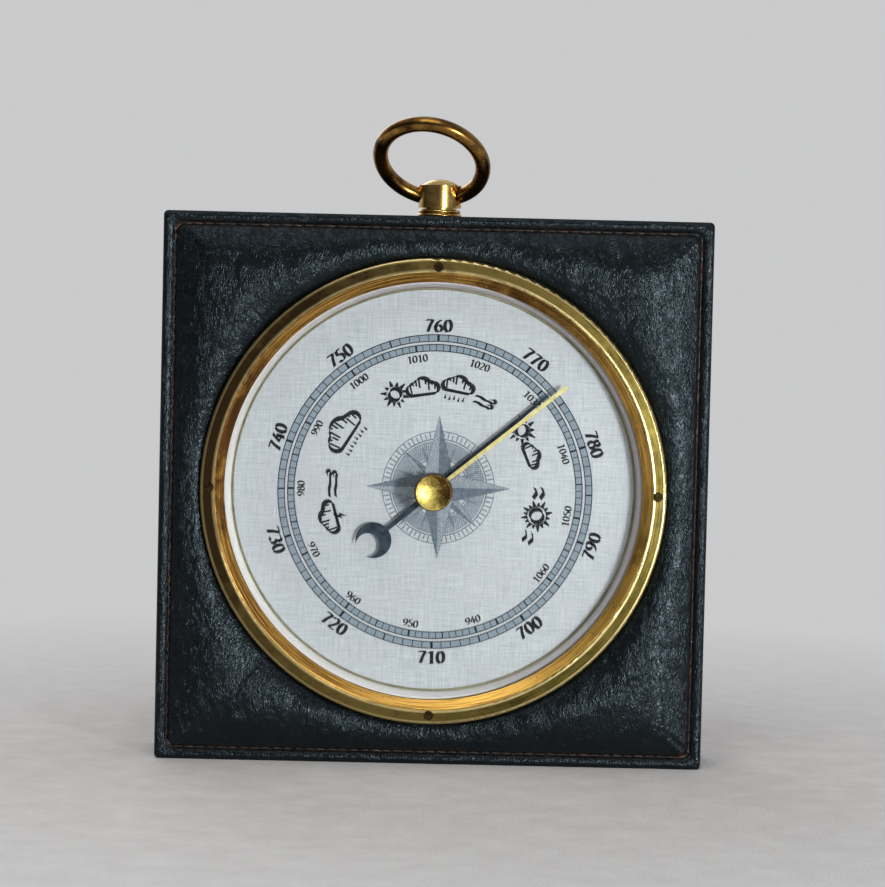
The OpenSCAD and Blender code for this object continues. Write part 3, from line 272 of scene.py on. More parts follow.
def bezel_brass():
    """The bezel's turned brass: olive face and orange slope with random patina, nearly black at the left in a
    painted shade, painted light on its slope and painted highlights on its rubbed edges.
    """
    s = Shader("aged_turned_brass")
    black, olive, dark_olive = (0.04, 0.024, 0.01), (0.13, 0.095, 0.028), (0.036, 0.027, 0.007)
    dark_orange, gold, glint_gold = (0.27, 0.13, 0.028), (0.95, 0.56, 0.12), (1, 0.6, 0.15)
    brown, dark_brown, black_brown = (0.2, 0.088, 0.02), (0.095, 0.043, 0.013), (0.05, 0.024, 0.008)
    place = s.place()
    x, up, radius = s.from_axis()

    def towards(degrees):
        """1 on the side of the dial that lies in this direction, clockwise from the top, and -1 opposite."""
        turn = radians(degrees)
        across = s.add(s.times(x, sin(turn)), s.times(up, cos(turn)))
        return s.math("DIVIDE", across, radius)

    streaks = s.noise(s.round_place(3, 3.4), detail=5, rough=0.75)
    bands = s.noise(s.round_place(2.6, 1.3), detail=4, rough=0.7)
    lines = s.noise(s.round_place(7, 1.6), detail=5, rough=0.7)
    patches = s.noise(place, 0.13, detail=6, rough=0.65)
    mottle = s.noise(place, 0.55, detail=6, rough=0.72)
    uneven = s.times(s.less(s.add(patches, s.times(mottle, 0.5)), 0.75), 1.5)

    # Painted shade on the face: nearly black at the upper left, away from the lamp, and olive with turned
    # lines on the lit side, varied by random patina
    lit_side_and_patina = s.add(towards(105), uneven)
    face = s.blend(lit_side_and_patina, -0.85, -0.15, black, olive)
    turned = s.blend(s.add(lines, s.times(uneven, 0.3)), 0.34, 0.66, (0.098, 0.077, 0.018), dark_olive)
    face = s.blend(lit_side_and_patina, -0.1, 0.75, face, turned)

    # Painted light on the slope: orange to gold where the lamp falls, along its lower, upper and right sides
    # and brightest towards the right; elsewhere a painted shade leaves it dark brown
    lower = s.span(s.add(towards(182), uneven), -0.1, 0.35)
    upper = s.span(s.add(towards(338), s.times(uneven, 0.3)), 0.74, 0.93)
    side = s.span(s.add(towards(88), s.times(uneven, 0.5)), 0.55, 1, 0, 0.7)
    lit = s.highest(side, s.highest(lower, upper))
    # Painted glints: pale gold along the slope's fine streaks wherever it is lit
    painted_glint_side = s.highest(lit, s.span(lit_side_and_patina, 0, 0.7, 0, 0.8))
    slope = s.mix(lit, dark_brown, s.blend(towards(110), -0.4, 0.55, dark_orange, gold))
    slope = s.blend(bands, 0.46, 0.64, slope, brown, most=0.75)
    slope = s.blend(streaks, 0.54, 0.7, slope, black_brown, most=0.8)
    slope = s.mix(s.times(s.span(streaks, 0.4, 0.52, 0.75, 0), painted_glint_side), slope, glint_gold)

    colour = s.blend(radius, CREST_R - 0.25, CREST_R + 0.1, slope, face)
    colour = s.mix(s.specks(place, 0.62, (0.06, 0.17), 0.21, (0.5, 0.56)), colour, (0.022, 0.014, 0.007))
    # The crest line and the outer rim line: partly rubbed brass, partly a painted highlight that is strongest
    # on the right, where the lamp falls
    crest = s.span(s.math("ABSOLUTE", s.less(radius, CREST_LINE_R)), 0.2, 0.55, 1, 0)
    rim = s.span(radius, RIM_LINE_R - 0.75, RIM_LINE_R - 0.35)
    rubbed_and_lit_edges = s.times(s.highest(crest, rim), s.span(towards(80), -0.5, 0.7, 0.35, 1))
    rubbed_and_lit_edges = s.times(rubbed_and_lit_edges, s.span(mottle, 0.3, 0.55, 0.7, 1))
    colour = s.mix(rubbed_and_lit_edges, colour, (0.78, 0.62, 0.28))

    roughness = s.span(s.add(streaks, patches), 0.7, 1.3, 0.32, 0.5)
    roughness = s.less(roughness, s.times(rubbed_and_lit_edges, 0.16))
    roughness = s.add(roughness, s.span(towards(235), 0.1, 0.8, 0, 0.12))
    return s.finish(Base_Color=colour, Roughness=roughness, Metallic=1, Normal=s.bump(streaks, 0.02))


# Where the knob's face gives way to its dark rim
KNOB_RIM_R = 5.6


def knob_brass():
    """The knob's brass: bright in its dish, with specks, darker round its rim, and dulled towards its upper
    right by a painted shade.
    """
    s = Shader("polished_knob_brass")
    bright, dull = (0.66, 0.52, 0.14), (0.12, 0.062, 0.016)
    rim, speck = (0.1, 0.055, 0.018), (0.02, 0.012, 0.006)
    place = s.place()
    x, up, radius = s.from_axis()
    patches = s.noise(place, 0.6, detail=6, rough=0.7)
    fine = s.noise(place, 2.6, detail=4, rough=0.7)
    # Painted shade: the colour is pushed towards dull brass at the upper right, where the knob reflects the
    # dark room
    painted_shade_right_top = s.span(s.add(s.times(x, 0.8), s.times(up, 0.35)), -3, 5, -0.14, 0.3)
    share = s.span(s.add(s.add(patches, painted_shade_right_top), s.times(fine, 0.25)), 0.5, 0.8)
    colour = s.mix(share, bright, dull)
    colour = s.mix(s.specks(place, 1.5, (0.1, 0.25), 0.5, (0.38, 0.44)), colour, speck)
    edge = s.add(radius, s.times(s.less(patches, 0.5), 0.4))
    colour = s.blend(edge, KNOB_RIM_R - 0.24, KNOB_RIM_R, colour, rim)
    return s.finish(Base_Color=colour, Roughness=s.span(patches, 0.3, 0.7, 0.36, 0.5), Metallic=1,
                    Normal=s.bump(fine, 0.012))


def leather(name):
    """Black grained leather: fine upright creases, pores, wear on its high places and a browner seam."""
    s = Shader(name)
    x, y, z = s.split(s.place())
    drift = s.times(s.less(s.noise(s.place((1, 1, 0.6)), 0.22, detail=2), 0.5), 7)
    bent_x = s.add(x, drift)

    def grain(across, along):
        """Coordinates of a grain that is finer across than along the case's height."""
        return s.join(s.times(bent_x, across), s.times(y, across), s.times(z, along))

    hills = s.noise(grain(2.3, 0.55), detail=1.5, rough=0.5)
    creases = s.span(s.cells(grain(1.9, 0.5)), 0, 0.28)
    fine = s.noise(grain(3.4, 1.9), detail=2, rough=0.6)
    height = s.add(s.times(s.span(hills, 0.25, 0.75), 0.6), s.times(creases, 0.3))
    height = s.add(height, s.times(fine, 0.22))
    broad = s.noise(s.place((1, 1, 0.4)), 0.1, detail=3)
    wear = s.span(s.add(s.times(hills, 0.6), s.times(broad, 0.6)), 0.5, 0.8)
    black, worn, seam_brown = (0.0014, 0.0017, 0.0021), (0.0042, 0.0054, 0.0066), (0.03, 0.015, 0.009)
    colour = s.mix(wear, black, worn)
    seam = s.node("Attribute", attribute_name="seam").outputs["Fac"]
    stained = s.span(s.noise(s.place((0.35, 1, 0.35)), 0.9, detail=5, rough=0.7), 0.42, 0.7)
    colour = s.mix(s.times(seam, stained), colour, seam_brown)
    roughness = s.span(s.add(hills, s.times(broad, 0.8)), 0.6, 1.3, 0.37, 0.25)
    low = s.bump(s.noise(s.place((1, 1, 0.4)), 0.3, detail=2), 0.06)
    return s.finish(
        Base_Color=colour, Roughness=roughness, Normal=s.bump(height, 0.15, low),
        Specular_IOR_Level=0.27, Specular_Tint=(0.68, 0.89, 1),
    )


def weave(s):
    """A fine brushed cross weave, between about 0 and 2."""
    upright = s.noise(s.place((2.3, 1, 0.1)), detail=3, rough=0.8)
    level = s.noise(s.place((0.1, 1, 2.3)), detail=3, rough=0.8)
    return s.add(upright, level)


def linen_dial():
    """A silvered dial brushed both ways, so that it looks like linen, with a few age specks."""
    s = Shader("silvered_dial")
    threads = weave(s)
    soft = s.noise(s.place(), 0.04, detail=3)
    colour = s.blend(threads, 0.75, 1.25, (0.35, 0.395, 0.42), (0.6, 0.65, 0.67))
    colour = s.blend(soft, 0.35, 0.75, colour, (0.46, 0.49, 0.5), most=0.35)
    specks = s.specks(s.place(), 0.3, (0.05, 0.09), 0.13, (0.56, 0.6), strength=0.6)
    colour = s.mix(specks, colour, (0.16, 0.15, 0.13))
    return s.finish(
        Base_Color=colour, Metallic=0.12, Roughness=s.span(threads, 0.7, 1.3, 0.52, 0.4),
        Normal=s.bump(threads, 0.012),
    )


def ink(name, dark, light, patch_mm=0.5):
    """Printing ink that takes unevenly on the brushed dial."""
    s = Shader(name)
    thin = s.add(weave(s), s.noise(s.place(), 1 / patch_mm, detail=3))
    return s.finish(Base_Color=s.blend(thin, 1.3, 1.8, dark, light), Roughness=0.6,
                    Specular_IOR_Level=0.15, Normal=s.bump(thin, 0.01))


def clear_glass():
    """Clear glass with a little dust, nearly transparent so that the lamps light the dial through it."""
    s = Shader("window_glass")
    dust = s.noise(s.place(), 0.4, detail=6, rough=0.8)
    return s.finish(Base_Color=(1, 1, 1), Transmission_Weight=1, IOR=1.45, Alpha=0.1,
                    Roughness=s.span(dust, 0.45, 0.8, 0, 0.05))


def cloth_like(name, low, high, size_mm, rough, depth_mm, stretch=(1, 1, 1)):
    """A dull fibrous or open stuff, such as board, foam, wood or felt."""
    s = Shader(name)
    coarse = s.noise(s.place(stretch), 1 / size_mm, detail=6, rough=0.65, twist=0.4)
    fine = s.noise(s.place(stretch), 6 / size_mm, detail=3)
    both = s.add(s.times(coarse, 0.7), s.times(fine, 0.3))
    return s.finish(Base_Color=s.blend(both, 0.35, 0.65, low, high), Roughness=rough,
                    Normal=s.bump(both, depth_mm))


def twisted_thread():
    """Waxed thread, dark brown with some tan stitches, twisted."""
    s = Shader("waxed_thread")
    x, y, z = s.split(s.place())
    lay = s.math("SINE", s.times(s.add(x, s.add(z, y)), 14))
    patches = s.noise(s.place(), 0.22, detail=4, rough=0.7)
    colour = s.blend(patches, 0.48, 0.66, (0.014, 0.009, 0.007), (0.17, 0.085, 0.04))
    return s.finish(Base_Color=colour, Roughness=0.6, Normal=s.bump(lay, 0.06), Sheen_Weight=0.15)


make_camera()

MATERIALS = {
    "leather": leather("black_grained_leather"),
    "thread": twisted_thread(),
    "bezel": bezel_brass(),
    "bezel_screw": metal("aged_screw_brass", (0.13, 0.09, 0.03), (0.02, 0.013, 0.006), 0.28, tarnish=0.6,
                         tarnish_mm=1.4, speck=0.4),
    "glass": clear_glass(),
    "gasket": cloth_like("gasket_rubber_black", (0.012, 0.012, 0.012), (0.03, 0.03, 0.03), 2, 0.7, 0.02),
    "reflector": satin_reflector(),
    "trim": pale_trim(),
    "dial": linen_dial(),
    "pendant": metal("polished_pendant_brass", (0.84, 0.61, 0.2), (0.3, 0.14, 0.038), 0.22, tarnish=0.42,
                     tarnish_mm=2.6, grain=(1.4, 1.4, 0.06), speck=0.8),
    "ring": metal("worn_ring_brass", (0.6, 0.315, 0.07), (0.04, 0.021, 0.009), 0.24, tarnish=0.5,
                  tarnish_mm=6.5, grain_mm=0.012, speck=0.8),
    "knob": knob_brass(),
    "hand_brass": metal("set_hand_brass", (0.74, 0.66, 0.3), (0.42, 0.36, 0.12), 0.34, tarnish=0.34,
                        tarnish_mm=2.5, grain=(1, 1, 2.5)),
    "movement_brass": metal("plate_brass", (0.72, 0.55, 0.25), (0.45, 0.3, 0.12), 0.34,
                            tarnish_mm=6, grain=(0.2, 1, 3), grain_mm=0.006),
    "blued": metal("blued_steel_blade", (0.05, 0.082, 0.112), (0.014, 0.018, 0.024), 0.36, tarnish=0.4,
                   metallic=0.8, grain=(2.5, 1, 2.5), grain_mm=0.006),
    "steel": metal("bright_steel_turned", (0.6, 0.6, 0.6), (0.34, 0.32, 0.3), 0.28, tarnish=0.3,
                   grain=(2.5, 0.5, 2.5)),
    "spring": metal("tempered_spring_steel", (0.28, 0.29, 0.32), (0.16, 0.12, 0.1), 0.33,
                    tarnish_mm=4, grain=(0.3, 2, 2)),
    "screw_steel": metal("blackened_screw_steel", (0.4, 0.36, 0.3), (0.14, 0.1, 0.075), 0.42, tarnish=0.45,
                         tarnish_mm=2, speck=0.7),
    "capsule": metal("nickel_capsule", (0.74, 0.73, 0.7), (0.52, 0.5, 0.45), 0.26, tarnish=0.3,
                     tarnish_mm=5, grain=(1.5, 1.5, 1.5), grain_mm=0.006),
    "housing": metal("tinned_sheet", (0.55, 0.55, 0.54), (0.36, 0.34, 0.31), 0.42, tarnish=0.4,
                     tarnish_mm=9, grain=(0.2, 1, 2.4), grain_mm=0.01),
    "wood": cloth_like("limewood", (0.36, 0.22, 0.11), (0.56, 0.39, 0.22), 2.4, 0.6, 0.05,
                       stretch=(0.12, 1, 1)),
    "foam": cloth_like("open_foam", (0.46, 0.39, 0.22), (0.66, 0.6, 0.4), 1.2, 0.9, 0.3),
    "fibreboard": cloth_like("brown_fibreboard", (0.045, 0.03, 0.02), (0.1, 0.07, 0.045), 3, 0.75, 0.08),
}

# The CAD nodes that each finish goes on
FINISHED_NODES = {
    "wood": "case_board",
    "foam": "foam_pad",
    "fibreboard": "back_cover",
    "screw_steel": "cover_screws movement_screws",
    "bezel": "bezel",
    "bezel_screw": "bezel_screws",
    "glass": "glass",
    "gasket": "glass_gasket",
    "reflector": "reflector_ring",
    "trim": "trim_ring",
    "dial": "dial_plate",
    "pendant": "pendant pendant_collar",
    "ring": "hanging_ring",
    "knob": "set_knob",
    "hand_brass": "knob_shaft glass_bush bush_nut set_hand",
    "spring": "tension_washer hairspring mainspring",
    "blued": "pointer",
    "steel": "pointer_arbor bridge_screws capsule_stud spring_screws adjusting_screw lever_rivets "
             "connecting_link rocking_shaft pull_chain",
    "movement_brass": "chain_pulley hairspring_collet hairspring_stud base_plate pillars pillar_spacers "
                      "lower_bridge upper_bridge capsule_post spring_block lever_arm shaft_bearings",
    "housing": "movement_housing",
    "capsule": "capsule_back capsule_front",
    "leather": "front_leather side_leather",
    "thread": "seam_thread",
}

for finish_name, node_names in FINISHED_NODES.items():
    for node_name in node_names.split():
        for material_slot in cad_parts[node_name].material_slots:
            material_slot.material = MATERIALS[finish_name]


def make_piece(name, points, faces, finish, smooth=True):
    """A mesh object from points in metres that rides on the case and wears one finish."""
    mesh = bpy.data.meshes.new(name)
    mesh.from_pydata([tuple(p) for p in points], [], [tuple(f) for f in faces])
    mesh.materials.append(MATERIALS[finish])
    mesh.polygons.foreach_set("use_smooth", [smooth] * len(mesh.polygons))
    mesh.update()
    piece = new_object(name, mesh)
    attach(piece, "case")
    return piece


def ring_faces(rows, columns, closed):
    """Quads between closed rows of points; where closed, the last row joins the first."""
    faces = []
    for j in range(rows if closed else rows - 1):
        k = (j + 1) % rows
        for i in range(columns):
            n = (i + 1) % columns
            faces.append((j * columns + i, k * columns + i, k * columns + n, j * columns + n))
    return faces


# Columns of points along half a side of the case: up to here in even steps, then closer round the corner
STRAIGHT_END = 81.5
STRAIGHT_STEPS = 52
BEND_STEPS = 8


def column_angles():
    """Directions round the case's middle, closer together in its corners."""
    straight = np.linspace(0, STRAIGHT_END, STRAIGHT_STEPS)
    bend = np.linspace(STRAIGHT_END, CASE_HALF, BEND_STEPS + 1)[1:]
    eighth = np.arctan(np.concatenate([straight, bend]) / CASE_HALF)
    quarter = np.concatenate([eighth, pi / 2 - eighth[-2:0:-1]])
    return np.concatenate([quarter + k * pi / 2 for k in range(4)])


ANGLES = column_angles()
FOLDED = np.minimum(ANGLES % (pi / 2), pi / 2 - ANGLES % (pi / 2))
CORNERING = np.sin(2 * FOLDED) ** 2


def edge_distance(inset):
    """How far the case's rounded square outline is in each direction, at an inset from its edge."""
    half = CASE_HALF - inset
    r = CORNER_R + CORNER_GROWTH * inset
    p = half - r
    b = p * (np.cos(FOLDED) + np.sin(FOLDED))
    bend = b + np.sqrt(np.maximum(0, r * r - 2 * p * p + b * b))
    return np.where(half * np.tan(FOLDED) <= p, half / np.cos(FOLDED), bend)


def row(distance, forward):
    """One closed row of points, from a distance and a forward place for each direction."""
    distance = distance + 0 * ANGLES
    forward = forward + 0 * ANGLES
    return np.stack([distance * np.cos(ANGLES), forward, distance * np.sin(ANGLES)], axis=1)


def waves(x, z, pitch, seed):
    """Smooth uneven rise and fall between about -1 and 1, the same at each run."""
    total = 0
    for k in range(1, 5):
        turn = seed * 1.7 + k * 2.4
        along = x * cos(turn) + z * sin(turn)
        total = total + np.sin(2 * pi * along / (pitch * (0.7 + 0.23 * k)) + seed * 3.1 + k)
    return total / 2.6


# The leather's rows of points: a few under the bezel, then those of the padding, then those of the seam
HIDDEN_ROWS = 3
PAD_ROWS = 22
FIRST_SEAM_ROW = HIDDEN_ROWS + PAD_ROWS
PAD_SHARES = np.linspace(0, 1, PAD_ROWS + 2)[1:-1]

# How far the padding falls to its shoulder, over how many mm, and its share that bends down to the bezel
SHOULDER_DROP = 0.5
SHOULDER_BEND = 1.7
TUCK_BEND = 0.12


def pad_height(share):
    """The padding's forward place from the bezel, share 0, to its shoulder, share 1."""
    inset = SHOULDER_INSET + (1 - share) * (CASE_HALF - SHOULDER_INSET - TUCK_R)
    swell = PAD_F - SHOULDER_DROP * exp(-(inset - SHOULDER_INSET) / SHOULDER_BEND)
    tuck = (PAD_F - TUCK_F) * exp(-share / TUCK_BEND)
    return swell - tuck


# Inset and forward place of the leather's rows from the padding's shoulder over the seam to the outer edge
SEAM_ROWS = [
    (6.5, 18.6), (6, 18.43), (5.5, 18.23), (5, 17.97), (4.62, 17.68), (4.3, 17.1), (4.1, 16.4),
    (3.7, 16.1), (3.5, 16.2), (3.2, 16.6), (2.9, 16.88), (2.5, 17.08), (2.05, 17.17), (1.6, 17.2),
    (1.15, 17.15), (0.75, 17), (0.4, 16.78), (0.15, 16.5), (0, 16.2), (0, 15.8),
]
FIRST_GROOVE_ROW = 4

# The leather's inner edge, which is hidden under the bezel
INNER_R = 70.9
INNER_F = 18


def front_leather_rows():
    """Rows of the front leather's outer face, from under the bezel to the case's outer edge."""
    rows = [row(INNER_R, INNER_F), row(TUCK_R - (TUCK_F - INNER_F) / 2, INNER_F), row(TUCK_R, TUCK_F)]
    shoulder = edge_distance(SHOULDER_INSET)
    for share in PAD_SHARES:
        distance = TUCK_R + share * (shoulder - TUCK_R)
        puffed = CORNER_PUFF * CORNERING * sin(pi * share ** 0.75)
        rows.append(row(distance, pad_height(share) + puffed))
    for inset, forward in SEAM_ROWS:
        rows.append(row(edge_distance(inset), forward))
    return np.array(rows)


# The simulated cloth: metres for each mm here (-y is forward), frames, how much of its motion is used and its
# limit in mm
SIM_SCALE = np.array([0.02, -0.02, 0.02])
SIM_FRAMES = 20
SIM_SHARE = 0.35
SIM_CAP = 0.5
SIM_CLOTH = {
    "quality": 5, "mass": 0.25, "tension_stiffness": 20, "compression_stiffness": 14, "shear_stiffness": 8,
    "bending_stiffness": 0.6, "air_damping": 4, "shrink_min": -0.012,
    "use_pressure": True, "uniform_pressure_force": 4,
}


def puff(rows):
    """Lets the padding swell as cloth held at the bezel and at the seam, and returns the moved rows."""
    count, columns = rows.shape[:2]
    flat = rows.reshape(-1, 3)
    mesh = bpy.data.meshes.new("puff")
    mesh.from_pydata((flat * SIM_SCALE).tolist(), [], ring_faces(count, columns, False))
    cloth_piece = new_object("puff", mesh)
    free = range(HIDDEN_ROWS, FIRST_SEAM_ROW + FIRST_GROOVE_ROW)
    held = cloth_piece.vertex_groups.new(name="held")
    held.add([j * columns + i for j in range(count) if j not in free for i in range(columns)], 1, "REPLACE")
    cloth = cloth_piece.modifiers.new("cloth", "CLOTH")
    cloth.settings.vertex_group_mass = "held"
    cloth.settings.effector_weights.gravity = 0
    for key, value in SIM_CLOTH.items():
        setattr(cloth.settings, key, value)
    cloth.point_cache.frame_start = 1
    cloth.point_cache.frame_end = SIM_FRAMES
    scene = bpy.context.scene
    start_frame = scene.frame_current
    for number in range(1, SIM_FRAMES + 1):
        scene.frame_set(number)
    shaped = cloth_piece.evaluated_get(bpy.context.evaluated_depsgraph_get()).to_mesh()
    moved = np.zeros(len(shaped.vertices) * 3, np.float32)
    shaped.vertices.foreach_get("co", moved)
    moved = moved.reshape(-1, 3).astype(float) / SIM_SCALE
    scene.frame_set(start_frame)
    bpy.data.objects.remove(cloth_piece)
    shift = (moved - flat) * SIM_SHARE
    length = np.linalg.norm(shift, axis=1, keepdims=True)
    limited = shift * np.minimum(1, SIM_CAP / np.maximum(length, 1e-9))
    return (flat + limited).reshape(count, columns, 3)


# The stitches' pitch, length, radius and lean, in mm
STITCH_PITCH = 3.4
STITCH_L = 2.7
STITCH_R = 0.24
STITCH_LEAN = 0.12


def seam_path(inset):
    """The rounded square at an inset from the case's edge, as x, z and distance along it for each column."""
    points = row(edge_distance(inset), 0)
    x, _, z = np.concatenate([points, points[:1]]).T
    run = np.concatenate([[0], np.cumsum(np.hypot(np.diff(x), np.diff(z)))])
    return x, z, run


# How far the stitches pull each row of leather back, and how brown it is, rows counted from the seam's first
GATHERS = {
    -3: 0.1, -2: 0.18, -1: 0.26, 0: 0.34, 1: 0.42, 2: 0.45, 3: 0.38, 4: 0.22,
    9: 0.15, 10: 0.2, 11: 0.18, 12: 0.12, 13: 0.07,
}
STAINS = {3: 0.25, 4: 0.6, 5: 0.9, 6: 1, 7: 1, 8: 0.95, 9: 0.7, 10: 0.45, 11: 0.2}


def make_leather(name, rows):
    """A closed band of leather through rows of points."""
    count, columns = rows.shape[:2]
    points = [at(p[0], p[2], p[1]) for p in rows.reshape(-1, 3).tolist()]
    return make_piece(name, points, ring_faces(count, columns, True), "leather")


def add_front_leather():
    """The padded and sewn front leather, in place of the CAD's plain one."""
    rows = front_leather_rows()
    rows = puff(rows)
    run = seam_path(SEAM_INSET)[2][:-1]
    stitches = 1 + np.cos(2 * pi * run / STITCH_PITCH)
    uneven = 0.6 + 0.4 * np.sin(run / 23) * np.sin(run / 7.7 + 1)
    for offset, depth in GATHERS.items():
        rows[FIRST_SEAM_ROW + offset][:, 1] -= depth * 0.5 * uneven * stitches
    for points in rows[HIDDEN_ROWS:FIRST_SEAM_ROW + 3]:
        points[:, 1] += 0.1 * waves(points[:, 0], points[:, 2], 21, 2)
        points[:, 1] += 0.05 * waves(points[:, 0], points[:, 2], 6, 5)
    halfway = TUCK_R + 0.5 * (edge_distance(SHOULDER_INSET) - TUCK_R)
    under = [
        row(edge_distance(SEAM_INSET + 1), BOARD_F),
        row(halfway, PAD_F - LEATHER_T - 0.2 + CORNER_PUFF * CORNERING),
        row(TUCK_R, INNER_F - LEATHER_T + 0.3),
        row(INNER_R, INNER_F - LEATHER_T),
    ]
    every = np.concatenate([rows, np.array(under)])
    piece = make_leather("front_leather_padded", every)
    seam = piece.data.attributes.new("seam", "FLOAT", "POINT")
    strength = np.zeros(every.shape[:2])
    for offset, value in STAINS.items():
        strength[FIRST_SEAM_ROW + offset] = value
    seam.data.foreach_set("value", strength.reshape(-1))
    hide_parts("front_leather")


def add_stitches():
    """One short thread for each stitch, in the seam's groove, diving into the leather at its ends."""
    x, z, run = seam_path(SEAM_INSET)
    count = round(run[-1] / STITCH_PITCH)
    pitch = run[-1] / count
    rings, sides = 9, 8
    points, faces = [], []
    for number in range(count):
        middle = number * pitch
        base = len(points)
        for j in range(rings):
            share = j / (rings - 1)
            s = (middle + (share - 0.5) * STITCH_L) % run[-1]
            centre = np.array([np.interp(s, run, x), np.interp(s, run, z)])
            ahead = (s + 0.05) % run[-1]
            forward = np.array([np.interp(ahead, run, x), np.interp(ahead, run, z)]) - centre
            forward = forward / max(1e-9, np.hypot(*forward))
            side = np.array([forward[1], -forward[0]])
            dive = sin(pi * share) ** 0.5
            thick = STITCH_R * (0.55 + 0.45 * dive) * (1 + 0.08 * sin(number * 2.3))
            lift = GROOVE_F - 0.12 + 0.3 * dive
            centre = centre + side * STITCH_LEAN * (share - 0.5) * 2
            for k in range(sides):
                turn = 2 * pi * k / sides
                out = centre + side * thick * cos(turn)
                points.append(at(out[0], out[1], lift + thick * sin(turn)))
        tube = ring_faces(rings, sides, False)
        faces += [(base + a, base + d, base + c, base + b) for a, b, c, d in tube]
        faces.append([base + k for k in range(sides)][::-1])
        faces.append([base + (rings - 1) * sides + k for k in range(sides)])
    piece = make_piece("seam_stitches", points, faces, "thread")
    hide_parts("seam_thread")


# The side leather: its rows, its round edge at the back, its play to the front leather, and how deep it sags
SIDE_ROWS = 26
SIDE_EDGE_R = 0.6
SIDE_PLAY = 0.03
SIDE_SAG = 0.07


def add_side_leather():
    """The strip of leather round the case's sides, turned in at the back."""
    fore = BOARD_F - SIDE_PLAY
    first = fore - 0.35
    last = BACK_F + SIDE_EDGE_R + 0.1
    rows = [row(edge_distance(0.45), fore), row(edge_distance(0.12), fore - 0.12)]
    outline = edge_distance(0)
    for j in range(SIDE_ROWS):
        f = first + (j + 0.5) / SIDE_ROWS * (last - first)
        wave = waves(outline * np.cos(ANGLES) + f, outline * np.sin(ANGLES) - f, 17, 3)
        rows.append(row(outline - SIDE_SAG * (1 + wave) * 0.5, f))
    for turn in np.linspace(0, 90, 5):
        angle = radians(turn)
        rows.append(row(edge_distance(SIDE_EDGE_R * (1 - cos(angle))),
                        BACK_F + SIDE_EDGE_R * (1 - sin(angle))))
    rows += [row(edge_distance(LEATHER_T), BACK_F), row(edge_distance(LEATHER_T), fore)]
    piece = make_leather("side_leather_strip", np.array(rows))
    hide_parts("side_leather")


# How far the print's layers lie above the dial
PRINT_LIFT = 0.012
LINE_LIFT = 0.03
HATCH_LIFT = LINE_LIFT + 0.004

# The print as a whole sits a little right of and below the dial's middle
PRINT_SHIFT = (0.5, -0.6)


def polar(turn, r):
    """A point at an angle clockwise from the top, in radians, and a radius."""
    return r * sin(turn), r * cos(turn)


class Print:
    """Flat printed shapes on the dial, in mm from its axis."""

    def __init__(self, name, finish, lift, middle=(0, 0)):
        self.name = name
        self.finish = finish
        self.x = PRINT_SHIFT[0] + middle[0]
        self.z = PRINT_SHIFT[1] + middle[1]
        self.forward = DIAL_F + lift
        self.points = []
        self.faces = []

    def lift(self, height):
        """Sets how far the next shapes lie above the dial, so that none lies in another's plane."""
        self.forward = DIAL_F + height

    def polygon(self, outline):
        """One flat face, turned so that it looks forward."""
        outline = list(outline)
        turned = sum(a[0] * b[1] - b[0] * a[1] for a, b in zip(outline, outline[1:] + outline[:1]))
        if turned < 0:
            outline.reverse()
        base = len(self.points)
        self.points.extend(at(x + self.x, z + self.z, self.forward) for x, z in outline)
        self.faces.append(range(base, base + len(outline)))

    def ring(self, r, width, steps=240):
        """A round line, r from the sheet's middle to the middle of its width."""
        out, back = r + width / 2, r - width / 2
        turns = [2 * pi * k / steps for k in range(steps + 1)]
        for a, b in zip(turns, turns[1:]):
            self.polygon([polar(a, out), polar(b, out), polar(b, back), polar(a, back)])

    def line(self, start, end, width):
        """A straight line between two points."""
        run = hypot(end[0] - start[0], end[1] - start[1])
        sx = (end[1] - start[1]) / run * width / 2
        sz = -(end[0] - start[0]) / run * width / 2
        self.polygon([(start[0] - sx, start[1] - sz), (end[0] - sx, end[1] - sz),
                      (end[0] + sx, end[1] + sz), (start[0] + sx, start[1] + sz)])

    def pen(self, line, width, slant, thin, place):
        """Draws a line with a broad nib held at a fixed slant; place carries its points onto the dial."""
        nib_x = cos(slant) * width / 2
        nib_y = sin(slant) * width / 2
        for (x0, y0), (x1, y1) in zip(line[:-1], line[1:]):
            run = hypot(x1 - x0, y1 - y0)
            if run < 1e-9:
                continue
            side_x = -(y1 - y0) / run * thin / 2
            side_y = (x1 - x0) / run * thin / 2
            if nib_x * side_x + nib_y * side_y < 0:
                side_x, side_y = -side_x, -side_y
            wide_x = nib_x + side_x
            wide_y = nib_y + side_y
            self.polygon([place(x0 - wide_x, y0 - wide_y), place(x1 - wide_x, y1 - wide_y),
                          place(x1 + wide_x, y1 + wide_y), place(x0 + wide_x, y0 + wide_y)])

    def make(self):
        """Turns the sheet into a mesh."""
        make_piece(self.name, self.points, self.faces, self.finish, smooth=False)


def bow(x, y, rx, ry, start, end, steps=18):
    """Points of an arc, its angles in degrees anticlockwise from the right."""
    turns = [radians(start + (end - start) * k / steps) for k in range(steps + 1)]
    return [(x + rx * cos(a), y + ry * sin(a)) for a in turns]


